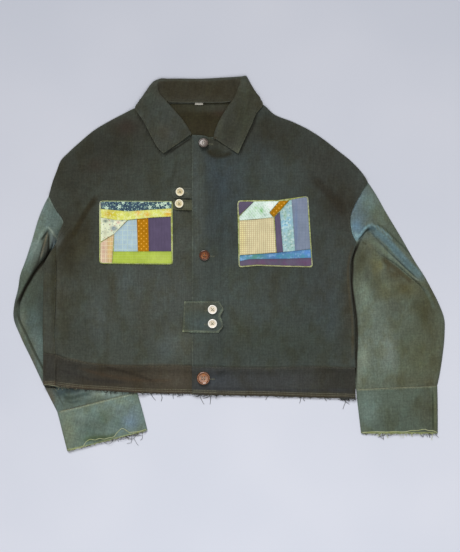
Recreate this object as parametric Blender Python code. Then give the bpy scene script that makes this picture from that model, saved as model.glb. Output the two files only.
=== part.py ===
"""A boxy patchwork work jacket of worn canvas, laid flat on its back with its front closed.

All sizes are millimetres.  +X is to the right across the jacket, +Y runs up to the collar and +Z
points away from the surface that the jacket lies on, which is z = 0.
"""
import math

import bmesh
import bpy
import numpy as np
from mathutils import Vector
from mathutils.bvhtree import BVHTree

MM = 0.001                   # the tables are in millimetres, Blender works in metres
CANVAS = 1.2                 # thickness of the body and sleeve cloth
COLLAR_CLOTH = 2.0           # collar, two layers of canvas
CUFF_CLOTH = 1.5             # cuff, canvas with its turned-in edges
POCKET_CLOTH = 1.0           # ground cloth of a pocket
PATCH_CLOTH = 1.0            # one patch
SEAM_GAP = 0.3               # space that pieces keep at a seam or where they lie on each other
FOLD_TIP = 1.3               # how far a fold's edge rounds out past its last flat point
FOLD_SPREAD = 3.0            # how far out the foot of a sleeve's fold lies from its edge
WRAP_AIR = 0.9               # air inside the fold where the back wraps on to the front
EDGE_ROUND = 1.2             # rounding of a flattened tube's edge
LAYER_AIR = 0.8              # air between the layers of a flattened tube
LEAF_UNDER_FROM = 268        # the back starts to rise here on to the part of the collar under it
LEAF_RAMP = 18
NECK_ROWS = (0.9, 0.95)      # rows of the back added below the neck, where it rises
ARMPIT_CLEAR = 33            # above this the back meets the armhole seam and lies on the surface
LEAF_FEEL = 8.0              # the collar clears what lies this far round each of its points
LEAF_LAP = 2.4               # the leaf rises this much over the roll before it falls
COLLAR_TOP = 363             # behind this line the collar's stand is the upper layer
WELD = 0.02                  # points closer than this are one point
SETTLE_STEPS = 5             # places along a cell's side where a sheet feels what is under it

# ---------------------------------------------------------------- outlines of the body, x and y

SHOULDER_LEFT = [(-360, 135), (-353, 163), (-337, 205), (-298, 243), (-239, 285), (-187, 311), (-144, 326)]
NECK_BACK = [(-144, 326), (-98, 322), (-52, 322), (-6, 323), (36, 331)]
SHOULDER_RIGHT = [(36, 331), (70, 316), (88, 300), (128, 283), (184, 252), (219, 225), (246, 203), (277, 163)]
ARMHOLE_LEFT = [(-349.5, 34), (-346, 46), (-331, 82), (-360, 135)]
ARMHOLE_RIGHT = [(253, 43), (248, 58), (242.5, 98), (277, 163)]
SIDE_SEAM_LEFT = [(-346, -181), (-349, -143), (-346, -73), (-345, -23), (-345, 3), (-345, 18), (-344, 34)]
FRONT_ARMHOLE_LEFT = [(-344, 34)] + ARMHOLE_LEFT[1:]
SIDE_FOLD_LEFT = [(-370, -178), (-371, -133), (-370, -73), (-369, -23), (-367, -1), (-358, 16), (-349.5, 34)]
SIDE_RIGHT = [(251, -208), (255, -157), (257, -113), (254, -76), (246, -27), (246, 9), (253, 43)]
NECK_LEFT = [(-144, 326), (-139, 315), (-130, 301), (-116, 285), (-98, 267), (-74, 254), (-26, 253)]
NECK_RIGHT = [(-74, 257), (-48, 255), (-28, 248), (-14, 259), (6, 283), (22, 303), (32, 319), (36, 331)]
BAND_SEAM_LEFT = [(-346, -181), (-292, -197), (-194, -204), (-82, -204), (-26, -204)]
BAND_SEAM_RIGHT = [(-74, -205), (2, -207), (76, -208), (166, -206), (251, -208)]
BAND_SEAM_BACK = [(-370, -178), (-346, -181), (-292, -197), (-194, -204), (0, -207), (251, -208)]
HEM_LEFT = [(-346, -245), (-307, -250), (-235, -255), (-174, -259), (-72, -261), (-26, -262)]
HEM_BACK = [(-370, -243), (-235, -254), (-72, -260), (76, -264), (253, -269)]
HEM_RIGHT = [(-74, -262), (2, -264), (76, -265), (162, -268), (253, -270)]
STAND_EDGE = -26             # hidden edge of the front that lies under the placket

# Largest soft folds of the front: start, end, half width and height.
BODY_FOLDS = [
    ((-300, 95), (-352, -20), 34, 2.4),
    ((150, 195), (225, 120), 32, 2.4),
    ((240, 40), (246, -200), 26, 2.8),
]

# ---------------------------------------------------------------- sleeves
# One row is a ring round the arm, from the armhole to the cuff: the outer edge, half way to the
# main fold, the fold's edge, the inner edge, how high the fold stands over the cloth it laps on to,
# and how far the cloth puffs.

RING_COLUMNS = ("outer", "half", "fold", "inner", "step", "puff")
SLEEVE_LEFT = [
    ((-361.0, 135), (-332.0, 82), (-347.1, 45.5), (-351.0, 33.5), 0.0, 0.0),
    ((-378, 97), (-360, 64), (-360, 33), (-355, 26.5), 1.5, 0.6),
    ((-394, 45), (-380, 30), (-370, 15), (-361.5, 13.5), 3.4, 1.2),
    ((-410, 2), (-397, -4), (-384, -10), (-316, 0), 4.2, 1.4),
    ((-418, -22), (-407, -26), (-396, -31), (-292, -12), 3.8, 1.4),
    ((-425, -52), (-416, -52), (-406, -52), (-272, -38), 2.6, 1.4),
    ((-430, -81), (-420, -80), (-410, -80), (-256, -70), 1.2, 1.4),
    ((-431, -105), (-420, -105), (-410, -106), (-242, -101), 0.0, 1.4),
    ((-417, -145), (-406, -144), (-396, -143), (-230, -133), 0.0, 1.4),
    ((-395, -191), (-385, -190), (-375, -188), (-216, -171), 0.0, 1.2),
    ((-370, -244), (-360, -242), (-351, -240), (-200, -213), 0.0, 1.0),
    ((-343, -297), (-334, -295), (-325, -293), (-184, -258), 0.0, 0.5),
]
SLEEVE_RIGHT = [
    ((278.0, 163), (243.5, 98), (249.0, 58), (254.2, 43.5), 0.0, 0.0),
    ((312, 105), (288, 72), (268, 46), (257, 37), 1.8, 1.2),
    ((345, 50), (322, 34), (298, 19), (248.5, 12), 4.0, 2.0),
    ((372, 3), (354, 0), (335, -4), (247.5, -12), 4.4, 2.2),
    ((392, -28), (380, -28), (366, -29), (249, -36), 3.8, 2.4),
    ((404, -50), (395, -49), (384, -47), (253, -60), 2.4, 2.4),
    ((420, -82), (408, -81), (396, -80), (256, -85), 0.8, 2.4),
    ((430.5, -112), (420, -112), (410, -112), (258.5, -115), 0.0, 2.2),
    ((431, -140), (421, -140), (411, -140), (257.5, -140), 0.0, 2.2),
    ((426, -190), (416, -190), (406, -190), (256, -185), 0.0, 1.8),
    ((416, -245), (407, -245), (398, -246), (257, -252), 0.0, 0.6),
]
# A cuff's rings, from its seam to its raw edge.
CUFF_LEFT = [
    ((-342.9, -297.5), (-334, -295.5), (-325, -293.5), (-183.9, -258.5), 0.0, 0.5),
    ((-333, -336), (-324, -334), (-315, -331), (-173.5, -296), 0.0, 0.7),
    ((-323, -375.5), (-314, -373), (-304, -370), (-164, -334), 0.0, 0.4),
]
CUFF_RIGHT = [
    ((416, -245.5), (407, -245.5), (398, -246.5), (257, -252.5), 0.0, 0.6),
    ((417, -293), (408, -293), (399, -294), (260, -292), 0.0, 0.7),
    ((417, -340), (408, -340), (399, -340), (265, -340), 0.0, 0.4),
]

# ---------------------------------------------------------------- collar
# One row is a section across the collar, from the left front round the back of the neck to the
# right front: the neck seam, the roll, the outer turn and the free edge of the leaf, each as x, y
# and the height of the middle of the cloth.

COLLAR_COLUMNS = ("neck", "roll", "turn", "edge")
COLLAR = [
    ((-77, 255, 4.6), (-75, 259, 6.6), (-104, 238, 7.4), (-131, 220, 4.4)),
    ((-98, 268, 4.8), (-91, 284, 8.0), (-118, 258, 8.6), (-143, 232, 4.4)),
    ((-116, 286, 5.6), (-107, 303, 8.8), (-133, 279, 9.6), (-156, 255, 4.6)),
    ((-130, 302, 6.7), (-124, 322, 9.6), (-150, 304, 10.4), (-173, 284, 6.4)),
    ((-139, 315, 6.9), (-139, 339, 9.8), (-166, 327, 10.4), (-193, 311.5, 7.0)),
    ((-142, 320, 6.9), (-141, 344, 9.8), (-186, 322, 6.0), (-192, 316, 3.0)),
    ((-144, 324, 6.9), (-142, 350, 9.6), (-176, 334, 6.5), (-184, 313.5, 1.2)),
    ((-142, 328, 6.7), (-142, 356, 9.0), (-167, 345, 6.0), (-170, 304, 1.1)),
    ((-132, 328, 6.2), (-138, 363, 8.6), (-151, 365, 4.6), (-144, 302, 1.1)),
    ((-110, 324.5, 5.2), (-110, 364, 8.2), (-110, 371, 4.6), (-112, 301, 1.1)),
    ((-52, 324, 5.2), (-52, 365, 8.2), (-52, 372.5, 4.6), (-52, 301, 1.1)),
    ((-8, 325, 5.2), (-8, 367, 8.2), (-8, 374.5, 4.6), (-6, 301, 1.1)),
    ((26, 331, 6.2), (24, 368, 8.6), (36, 373, 4.6), (32, 303, 1.1)),
    ((36, 332, 6.7), (22, 358, 9.0), (50, 352, 6.0), (56, 306, 1.1)),
    ((37, 328, 6.9), (19, 351, 9.6), (61, 341, 6.5), (68, 318.5, 1.2)),
    ((34, 323, 6.9), (14, 338, 9.8), (71, 330, 6.0), (77, 324, 3.0)),
    ((31, 318, 6.9), (10, 330, 9.8), (42, 328, 10.4), (75, 318, 7.0)),
    ((21, 303, 6.7), (-2, 313, 9.6), (29, 308, 10.4), (58, 302, 6.6)),
    ((6, 284, 5.6), (-12, 297, 8.8), (21, 287, 9.6), (50, 280, 4.6)),
    ((-8, 267, 4.8), (-22, 279, 8.0), (9, 266, 8.6), (39, 255, 4.4)),
    ((-19, 256, 4.6), (-28, 263, 7.4), (1, 248, 8.0), (28, 237, 4.4)),
    ((-29, 247, 4.6), (-31, 251, 6.6), (-6, 235, 7.4), (18, 219, 4.4)),
]

# ---------------------------------------------------------------- pockets and their patches
# Every piece lies between a lower and an upper line, both from left to right.

POCKETS = {
    "pocket_left": ([(-259, 5), (-256, 0), (-118, -2), (-112, 3)],
                    [(-259, 121), (-256, 125), (-116, 124), (-113, 119)]),
    "pocket_right": ([(20, -3), (24, -8), (80, -7), (165, -6), (169, -1)],
                     [(17, 119), (21, 125), (80, 125), (152, 134), (160, 128)]),
}
PATCHES_LEFT = {
    "navy_floral": ([(-257, 109), (-203, 104), (-161, 107), (-115, 110)], [(-254, 123), (-115, 122)]),
    "yellow_floral": ([(-255, 92), (-227, 87), (-203, 87), (-143, 93), (-115, 94)],
                      [(-257, 109), (-203, 104), (-161, 107), (-115, 110)]),
    "white_floral": ([(-255, 44), (-229, 59.5), (-204, 86)], [(-255, 91.5), (-227, 86.5), (-205, 86.5)]),
    "blue_check": ([(-230, 24), (-182, 24)], [(-229, 59), (-202, 86), (-184, 88)]),
    "orange_dots": ([(-182, 24), (-160, 24)], [(-184, 88), (-161, 90.5)]),
    "plum": ([(-160, 24), (-116, 24)], [(-161, 90.5), (-117, 93)]),
    "lime": ([(-233, 2), (-114, 1)], [(-231, 24), (-116, 24)]),
    "pink_stripe": ([(-257, 2), (-234, 2)], [(-255, 43), (-230, 58)]),
}
PATCHES_RIGHT = {
    "purple_corner": ([(21, 95), (49, 122)], [(20, 123), (49, 123.5)]),
    "leaf_print": ([(87.5, 92), (80, 101.5), (100, 125)], [(21, 86), (21, 94), (50, 123)]),
    "orange_dots": ([(81, 101), (89.5, 93)], [(101.5, 125), (119, 125.5)]),
    "beige_check": ([(22, 17), (94, 22)], [(21, 85.5), (55, 88), (89, 92)]),
    "purple_strip": ([(95, 22), (108, 23)], [(91, 92.5), (101, 103)]),
    "aqua_floral": ([(108, 23), (132, 25.5)], [(101.5, 103), (121, 126), (125, 127)]),
    "lavender": ([(132, 25.5), (164, 29)], [(125, 127), (157, 131)]),
    "blue_batik": ([(22, 4), (81, 8), (165, 11)], [(22, 16), (94, 21), (163, 28)]),
    "purple_foot": ([(22, -5), (81, -4), (166, -4)], [(22, 4), (81, 8), (165, 11)]),
}

# ---------------------------------------------------------------- tabs, tape and buttons

TAB_UPPER = {                           # the two arms that come out from under the placket
    "tab_upper_1": ([(-114, 137), (-107, 131), (-75, 130)], [(-113, 144), (-106, 151.5), (-75, 151)]),
    "tab_upper_2": ([(-112, 113), (-105, 107), (-75, 106)], [(-113, 121), (-107, 127.5), (-75, 127)]),
}
TAB_LOWER = ([(-93, -137), (-74, -138), (-50, -138), (-21, -138), (-11, -127)],
             [(-89, -76), (-74, -76), (-50, -75), (-20, -75), (-11, -87)])
NECK_TAPE = ([(-68, 312), (-52, 312)], [(-68, 319), (-52, 319)])
BUTTON_COLUMNS = ("x", "y", "diameter", "lies_on")
BUTTONS_BROWN = [(-51, 240, 19.4, "front_right"), (-49, 16, 21.0, "front_right"),
                 (-51, -229, 26.0, "band_right")]
BUTTONS_PALE = [(-98, 142, 17.4, "tab_upper_1"), (-100, 118, 17.4, "tab_upper_2"),
                (-33, -92, 18.4, "tab_lower"), (-33, -120, 18.4, "tab_lower")]
BUTTON_HEIGHT = 3.6
BUTTON_SIDES = 18

# ---------------------------------------------------------------- finishes

FINISHES = {                            # name: colour as sRGB, roughness
    "worn_canvas_brown": ((0.26, 0.27, 0.24), 0.9),
    "worn_canvas_teal": ((0.40, 0.46, 0.43), 0.9),
    "collar_canvas": ((0.27, 0.27, 0.23), 0.9),
    "pocket_ground": ((0.47, 0.48, 0.24), 0.9),
    "patch_print": ((0.50, 0.48, 0.52), 0.85),
    "brown_button": ((0.24, 0.17, 0.13), 0.45),
    "pale_button": ((0.72, 0.69, 0.62), 0.4),
}


def clear_scene():
    """Start from an empty scene."""
    for thing in list(bpy.data.objects):
        bpy.data.objects.remove(thing, do_unlink=True)


def finish(name):
    """The material of this name, made once."""
    material = bpy.data.materials.get(name)
    if material:
        return material
    srgb, roughness = FINISHES[name]
    material = bpy.data.materials.new(name)
    material.use_nodes = True
    surface = material.node_tree.nodes["Principled BSDF"]
    linear = [((c + 0.055) / 1.055) ** 2.4 for c in srgb]
    surface.inputs["Base Color"].default_value = (*linear, 1.0)
    surface.inputs["Roughness"].default_value = roughness
    return material


def shares(line):
    """How far along a line each of its points lies, from 0 to 1."""
    steps = np.linalg.norm(np.diff(np.array(line, float), axis=0), axis=1)
    reach = np.concatenate([[0.0], np.cumsum(steps)])
    return reach / reach[-1]


def along(line, where):
    """The points of a line at the given shares of its length."""
    points = np.array(line, float)
    reach = shares(line)
    return np.column_stack([np.interp(where, reach, points[:, k]) for k in range(points.shape[1])])


def joined_shares(*lines, nearest=0.02, more=()):
    """The shares of several lines in one list, without near repeats."""
    found = sorted({round(float(s), 6) for line in lines for s in shares(line)} | set(more))
    kept = [0.0]
    for share in found:
        if share - kept[-1] > nearest and 1.0 - share > nearest:
            kept.append(share)
    return np.array(kept + [1.0])


def panel(bottom, top, left, right, across=None, up=None):
    """A flat grid of points filled in between a panel's four edges (a Coons patch)."""
    across = joined_shares(top) if across is None else across
    up = joined_shares(left, right) if up is None else up
    low, high = along(bottom, across), along(top, across)
    near, far = along(left, up), along(right, up)
    u = across[None, :, None]
    v = up[:, None, None]
    edges = (1 - v) * low[None] + v * high[None] + (1 - u) * near[:, None] + u * far[:, None]
    corners = ((1 - u) * (1 - v) * low[0] + u * (1 - v) * low[-1]
               + (1 - u) * v * high[0] + u * v * high[-1])
    return edges - corners


def between(lines, rows=1):
    """A grid of points between a lower and an upper line."""
    lower, upper = lines
    across = joined_shares(lower, upper, nearest=0.01)
    low, high = along(lower, across), along(upper, across)
    return np.array([low + (high - low) * step / rows for step in range(rows + 1)])


def drawn_in(grid, by):
    """A one-row grid with its outline moved in by this much, so that neighbours stay apart."""
    loop = np.concatenate([grid[0], grid[-1][::-1]])
    moved = loop.copy()
    count = len(loop)
    for k in range(count):
        before = next(loop[k] - loop[(k - n) % count] for n in range(1, count)
                      if np.linalg.norm(loop[k] - loop[(k - n) % count]) > WELD)
        after = next(loop[(k + n) % count] - loop[k] for n in range(1, count)
                     if np.linalg.norm(loop[(k + n) % count] - loop[k]) > WELD)
        near = np.array([-before[1], before[0]]) / np.linalg.norm(before)
        far = np.array([-after[1], after[0]]) / np.linalg.norm(after)
        mean = (near + far) / 2
        moved[k] = loop[k] + mean * by / max(float(mean @ mean), 0.12)
    half = len(grid[0])
    return np.array([moved[:half], moved[half:][::-1]])


def surface_of(grid, rise=0.0):
    """A tree of a grid's faces, moved up by this much, for finding what lies under a sheet."""
    rows, columns = grid.shape[:2]
    points = [Vector((p[0], p[1], p[2] + rise)) for p in grid.reshape(-1, 3)]
    faces = [(i * columns + j, i * columns + j + 1, (i + 1) * columns + j + 1, (i + 1) * columns + j)
             for i in range(rows - 1) for j in range(columns - 1)]
    return BVHTree.FromPolygons(points, faces)


def height_under(trees, x, y, floor):
    """The top of whatever lies under this place."""
    found = floor
    for tree in trees:
        hit = tree.ray_cast(Vector((x, y, 1000.0)), Vector((0, 0, -1)))[0]
        if hit is not None:
            found = max(found, hit.z)
    return found


def settled(flat, trees, gap=SEAM_GAP, floor=0.0):
    """Lay a flat grid on what is under it: each point clears all that its cells cover."""
    rows, columns = flat.shape[:2]
    heights = np.full((rows, columns), floor)
    steps = np.linspace(0.0, 1.0, SETTLE_STEPS)
    for i in range(rows - 1):
        for j in range(columns - 1):
            a, b = flat[i, j, :2], flat[i, j + 1, :2]
            c, d = flat[i + 1, j, :2], flat[i + 1, j + 1, :2]
            need = floor
            for v in steps:
                for u in steps:
                    x, y = (1 - v) * ((1 - u) * a + u * b) + v * ((1 - u) * c + u * d)
                    need = max(need, height_under(trees, x, y, floor - gap) + gap)
            heights[i:i + 2, j:j + 2] = np.maximum(heights[i:i + 2, j:j + 2], need)
    return np.dstack([flat[:, :, :2], heights])


def wall_offsets(grid, wall):
    """What moves each point of a grid to the other face of its wall, square to each row's line."""
    offsets = np.zeros_like(grid)
    for i, row in enumerate(grid):
        steps = np.diff(row[:, [0, 2]], axis=0)
        lengths = np.linalg.norm(steps, axis=1)
        normals = np.column_stack([-steps[:, 1], steps[:, 0]]) / np.maximum(lengths, 1e-9)[:, None]
        real = [k for k in range(len(steps)) if lengths[k] > 0.01]
        for j in range(len(row)):
            before = [k for k in real if k < j]
            after = [k for k in real if k >= j]
            near = normals[before[-1] if before else after[0]]
            far = normals[after[0] if after else before[-1]]
            mean = near + far
            mean = mean / np.linalg.norm(mean)
            mitre = wall / max(float(mean @ near), 0.75)
            offsets[i, j] = (mean[0] * mitre, 0.0, mean[1] * mitre)
    return offsets


def add_piece(name, shape, material):
    """Turn a finished bmesh into a named object with its finish."""
    mesh = bpy.data.meshes.new(name)
    shape.to_mesh(mesh)
    shape.free()
    mesh.materials.append(finish(material))
    piece = bpy.data.objects.new(name, mesh)
    bpy.context.collection.objects.link(piece)
    return piece


def cloth(name, grids, wall, material, folded=False):
    """One piece of cloth, a wall on the grids of points of its lower or outer face."""
    shape = bmesh.new()
    corners = {}
    for grid in grids:
        rise = wall_offsets(grid, wall) if folded else np.broadcast_to((0.0, 0.0, wall), grid.shape)
        rows, columns = grid.shape[:2]
        pairs = {}
        for i, j in np.ndindex(rows, columns):
            key = tuple(np.round(grid[i, j] / WELD))
            if key not in corners:
                corners[key] = (shape.verts.new(grid[i, j] * MM),
                                shape.verts.new((grid[i, j] + rise[i, j]) * MM))
            pairs[i, j] = corners[key]
        for i, j in np.ndindex(rows - 1, columns - 1):
            around = [pairs[i, j], pairs[i, j + 1], pairs[i + 1, j + 1], pairs[i + 1, j]]
            around = list(dict.fromkeys(around))
            if len(around) < 3:
                continue
            shape.faces.new([pair[1] for pair in around])
            shape.faces.new([pair[0] for pair in reversed(around)])
    partner = {pair[0]: pair[1] for pair in corners.values()}
    for edge in [e for e in shape.edges if len(e.link_faces) == 1 and e.verts[0] in partner]:
        loop = edge.link_loops[0]
        start, end = loop.vert, loop.link_loop_next.vert
        shape.faces.new((end, start, partner[start], partner[end]))
    bmesh.ops.triangulate(shape, faces=[f for f in shape.faces if len(f.verts) > 3])
    return add_piece(name, shape, material)


def rolled(name, grid, wall, material, closed=False):
    """A piece that turns over on itself: its grid runs in the middle of the wall."""
    shape = bmesh.new()
    rows, columns = grid.shape[:2]
    points = [[shape.verts.new(grid[i, j] * MM) for j in range(columns)] for i in range(rows)]
    for i in range(rows - 1):
        for j in range(columns if closed else columns - 1):
            k = (j + 1) % columns
            shape.faces.new((points[i][j], points[i][k], points[i + 1][k], points[i + 1][j]))
    piece = add_piece(name, shape, material)
    solid = piece.modifiers.new("cloth wall", "SOLIDIFY")
    solid.thickness = wall * MM
    solid.offset = 0.0
    return piece


def ring(row, lowest, rise):
    """One ring round a flattened sleeve: up the outer edge, over the fold, round and back under."""
    part = dict(zip(RING_COLUMNS, row))
    outer, half, fold, inner = (np.array(part[k], float) for k in RING_COLUMNS[:4])
    step, puff = part["step"], part["puff"]
    inward = (half - outer) / np.linalg.norm(half - outer)
    onward = (inner - fold) / np.linalg.norm(inner - fold)
    upper = lowest + rise
    foot = fold + onward * FOLD_SPREAD
    points = [
        (*(outer + inward * EDGE_ROUND * 2), lowest),
        (*(outer + inward * EDGE_ROUND * 0.3), lowest + rise * 0.2),
        (*(outer + inward * EDGE_ROUND * 0.3), upper - rise * 0.2),
        (*(outer + inward * EDGE_ROUND * 2), upper),
        (*half, upper + step + puff),
        (*fold, upper + step),
        (*foot, upper),
    ]
    for share in (0.25, 0.5, 0.75):
        rounding = puff * math.sin(math.pi * share)
        points.append((*(foot + (inner - foot) * share), upper + rounding))
    points += [
        (*(inner - onward * EDGE_ROUND * 2), upper),
        (*(inner - onward * EDGE_ROUND * 0.3), upper - rise * 0.2),
        (*(inner - onward * EDGE_ROUND * 0.3), lowest + rise * 0.2),
        (*(inner - onward * EDGE_ROUND * 2), lowest),
        (*((inner + fold) / 2), lowest),
        (*fold, lowest),
        (*half, lowest),
    ]
    return points


def collar_grid(fronts):
    """The collar's sections, rounded between their points and kept clear of the fronts."""
    rows = []
    for neck, roll, turn, edge in np.array(COLLAR, float):
        below = edge[2] < COLLAR_CLOTH
        rise = neck + (roll - neck) * (0.5, 0.5, 0.3)
        crown = roll + (turn - roll) * 0.35
        crown[2] = roll[2] + (LEAF_LAP if roll[1] < COLLAR_TOP - LEAF_LAP else -0.8)
        fall = turn + (edge - turn) * 0.45
        if below:
            fall[2] = edge[2]
        rows.append([neck, rise, roll, crown, turn, fall, edge])
    grid = np.array(rows)
    for i, j in np.ndindex(grid.shape[:2]):
        x, y, z = grid[i, j]
        if z < COLLAR_CLOTH:
            continue
        around = [(x + LEAF_FEEL * a, y + LEAF_FEEL * b) for a in (-1, 0, 1) for b in (-1, 0, 1)]
        floor = max(height_under(fronts, px, py, 0.0) for px, py in around)
        grid[i, j, 2] = max(z, floor + SEAM_GAP + COLLAR_CLOTH / 2 + 0.2)
    return grid


def tube(name, rows, wall, material):
    """A sleeve or cuff: rings down the arm, open at both ends.  Returns what can lie on it."""
    grid = np.array([ring(row, wall / 2, wall + LAYER_AIR) for row in rows])
    rolled(name, grid, wall, material, closed=True)
    return surface_of(np.concatenate([grid, grid[:, :1]], axis=1), wall / 2)


def build_arms():
    """Sleeves and cuffs, which lie on the surface.  Returns what the body lies on."""
    sleeve = tube("sleeve_left", SLEEVE_LEFT, CANVAS, "worn_canvas_teal")
    cuff = tube("cuff_left", CUFF_LEFT, CUFF_CLOTH, "worn_canvas_teal")
    tube("sleeve_right", SLEEVE_RIGHT, CANVAS, "worn_canvas_teal")
    tube("cuff_right", CUFF_RIGHT, CUFF_CLOTH, "worn_canvas_teal")
    return [sleeve, cuff]


def lifted(flat, arms):
    """A back piece lies on the forearm where that is under it, and on the collar leaf at the neck."""
    raised = settled(flat, arms)
    raised[flat[:, :, 1] > ARMPIT_CLEAR, 2] = 0.0
    leaf = np.clip((flat[:, :, 1] - LEAF_UNDER_FROM) / LEAF_RAMP, 0.0, 1.0)
    raised[:, :, 2] = np.maximum(raised[:, :, 2], leaf * (COLLAR_CLOTH + 2 * SEAM_GAP))
    return raised


def with_wrap(raised, seam):
    """The grids of a back piece that wraps on to the front: round the fold, to the side seam there."""
    top = 2 * CANVAS + WRAP_AIR
    wrap = []
    for on_front, row in zip(seam, raised):
        x, y, base = row[0]
        at_seam = np.interp(on_front[0], [x, row[1][0], row[2][0]], [base, row[1][2], row[2][2]])
        wrap.append([(on_front[0] - SEAM_GAP, on_front[1], at_seam + top), (x + FOLD_TIP, y, base + top),
                     (x, y, base + top / 2), (x + FOLD_TIP, y, base), tuple(row[1])])
    flat = raised[:, 1:].copy()
    stay = raised[len(seam):, :2].copy()
    edge = np.array([[wrap[-1][3], wrap[-1][4]]] + [list(map(tuple, pair)) for pair in stay])
    return [np.array(wrap), flat, edge]


def build_backs(arms):
    """The back and its hem band; returns the surfaces that the fronts lie on."""
    top = SHOULDER_LEFT + NECK_BACK[1:] + SHOULDER_RIGHT[1:]
    left = SIDE_FOLD_LEFT + ARMHOLE_LEFT[1:]
    right = SIDE_RIGHT + ARMHOLE_RIGHT[1:]
    across = joined_shares(top)
    up = joined_shares(left, right, nearest=0.006, more=NECK_ROWS)
    back = lifted(panel(BAND_SEAM_BACK, top, left, right, across, up), arms)
    below_arm = up <= shares(left)[len(SIDE_FOLD_LEFT) - 1] + WELD
    wrap_seam = along(SIDE_SEAM_LEFT, shares(back[below_arm, 0, :2]))
    cloth("back", with_wrap(back, wrap_seam), CANVAS, "worn_canvas_brown", folded=True)

    seam_line = [(x, y - SEAM_GAP) for x, y in BAND_SEAM_BACK]
    up = np.array([0.0, 0.5, 1.0])
    band_left = [HEM_BACK[0], seam_line[0]]
    band_right = [HEM_BACK[-1], seam_line[-1]]
    band = lifted(panel(HEM_BACK, seam_line, band_left, band_right, across, up), arms)
    band_seam = [HEM_LEFT[0], (BAND_SEAM_LEFT[0][0], BAND_SEAM_LEFT[0][1] - SEAM_GAP)]
    cloth("band_back", with_wrap(band, along(band_seam, up)), CANVAS, "worn_canvas_brown", folded=True)
    return surface_of(back, CANVAS), surface_of(band, CANVAS), shares(back[below_arm, 0, :2])


def front_band(name, hem, seam, trees):
    """The hem band below one front."""
    seam_line = [(x, y - SEAM_GAP) for x, y in seam]
    sides = [hem[0], seam_line[0]], [hem[-1], seam_line[-1]]
    grid = panel(hem, seam_line, *sides, joined_shares(hem, seam_line), np.array([0.0, 0.5, 1.0]))
    grid = settled(grid, trees)
    cloth(name, [grid], CANVAS, "worn_canvas_brown")
    return surface_of(grid, CANVAS)


def folded_over(grid):
    """The body's largest soft folds, raised on the front."""
    raised = grid.copy()
    for start, end, half_width, height in BODY_FOLDS:
        a, b = np.array(start, float), np.array(end, float)
        run = b - a
        length = np.linalg.norm(run)
        for i, j in np.ndindex(grid.shape[:2]):
            offset = grid[i, j, :2] - a
            share = float(np.clip(offset @ run / length ** 2, 0, 1))
            reach = np.linalg.norm(offset - run * share)
            if reach < half_width:
                raised[i, j, 2] += height * math.cos(math.pi / 2 * reach / half_width) ** 2
    return raised


def build_fronts(on_back, on_band, wrap_shares):
    """Both fronts with their hem bands.  Returns the surfaces that pockets and buttons lie on."""
    neck = SHOULDER_LEFT + NECK_LEFT[1:]
    side = [tuple(p) for p in along(SIDE_SEAM_LEFT, wrap_shares)] + FRONT_ARMHOLE_LEFT[1:]
    stand = [(STAND_EDGE, BAND_SEAM_LEFT[-1][1]), NECK_LEFT[-1]]
    left = panel(BAND_SEAM_LEFT, neck, side, stand, up=shares(side))
    left = folded_over(settled(left, [on_back]))
    cloth("front_left", [left], CANVAS, "worn_canvas_brown")
    on_left = surface_of(left, CANVAS)
    on_band_left = front_band("band_left", HEM_LEFT, BAND_SEAM_LEFT, [on_band])

    neck = NECK_RIGHT + SHOULDER_RIGHT[1:]
    side = SIDE_RIGHT + ARMHOLE_RIGHT[1:]
    placket = [BAND_SEAM_RIGHT[0], NECK_RIGHT[0]]
    beneath = [on_back, on_band, on_left, on_band_left]
    right = folded_over(settled(panel(BAND_SEAM_RIGHT, neck, placket, side), beneath))
    cloth("front_right", [right], CANVAS, "worn_canvas_brown")
    on_right = surface_of(right, CANVAS)
    on_band_right = front_band("band_right", HEM_RIGHT, BAND_SEAM_RIGHT, beneath)
    return {"front_left": on_left, "front_right": on_right, "band_right": on_band_right}


def flat_sheet(name, lines, trees, wall, material, rows=1, inset=0.0):
    """A small piece that lies on the cloth under it."""
    flat = drawn_in(between(lines), inset) if inset else between(lines, rows)
    grid = settled(flat, trees)
    cloth(name, [grid], wall, material)
    return surface_of(grid, wall)


def build_pockets(under):
    """Patch pockets: a ground cloth with its patches laid on it."""
    for side, patches in (("left", PATCHES_LEFT), ("right", PATCHES_RIGHT)):
        pocket = "pocket_" + side
        ground = flat_sheet(pocket, POCKETS[pocket], [under["front_" + side]], POCKET_CLOTH,
                            "pocket_ground", rows=2)
        for name, lines in patches.items():
            flat_sheet(f"patch_{side}_{name}", lines, [ground], PATCH_CLOTH, "patch_print",
                       inset=SEAM_GAP * 0.6)


def button(name, x, y, diameter, floor, material):
    """A button with a rim and a dished face, turned about its own axis."""
    radius = diameter / 2
    profile = [(0, 0), (radius * 0.8, 0), (radius, 1.2), (radius, 2.6), (radius * 0.9, BUTTON_HEIGHT),
               (radius * 0.74, BUTTON_HEIGHT), (radius * 0.62, BUTTON_HEIGHT - 1.1),
               (0, BUTTON_HEIGHT - 1.1)]
    shape = bmesh.new()
    chain = [shape.verts.new((r * MM, 0, z * MM)) for r, z in profile]
    edges = [shape.edges.new(pair) for pair in zip(chain, chain[1:])]
    bmesh.ops.spin(shape, geom=chain + edges, axis=(0, 0, 1), cent=(0, 0, 0), steps=BUTTON_SIDES,
                   angle=2 * math.pi, use_duplicate=False)
    bmesh.ops.remove_doubles(shape, verts=shape.verts, dist=0.01 * MM)
    bmesh.ops.recalc_face_normals(shape, faces=shape.faces)
    piece = add_piece(name, shape, material)
    piece.location = Vector((x, y, floor)) * MM


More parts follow.
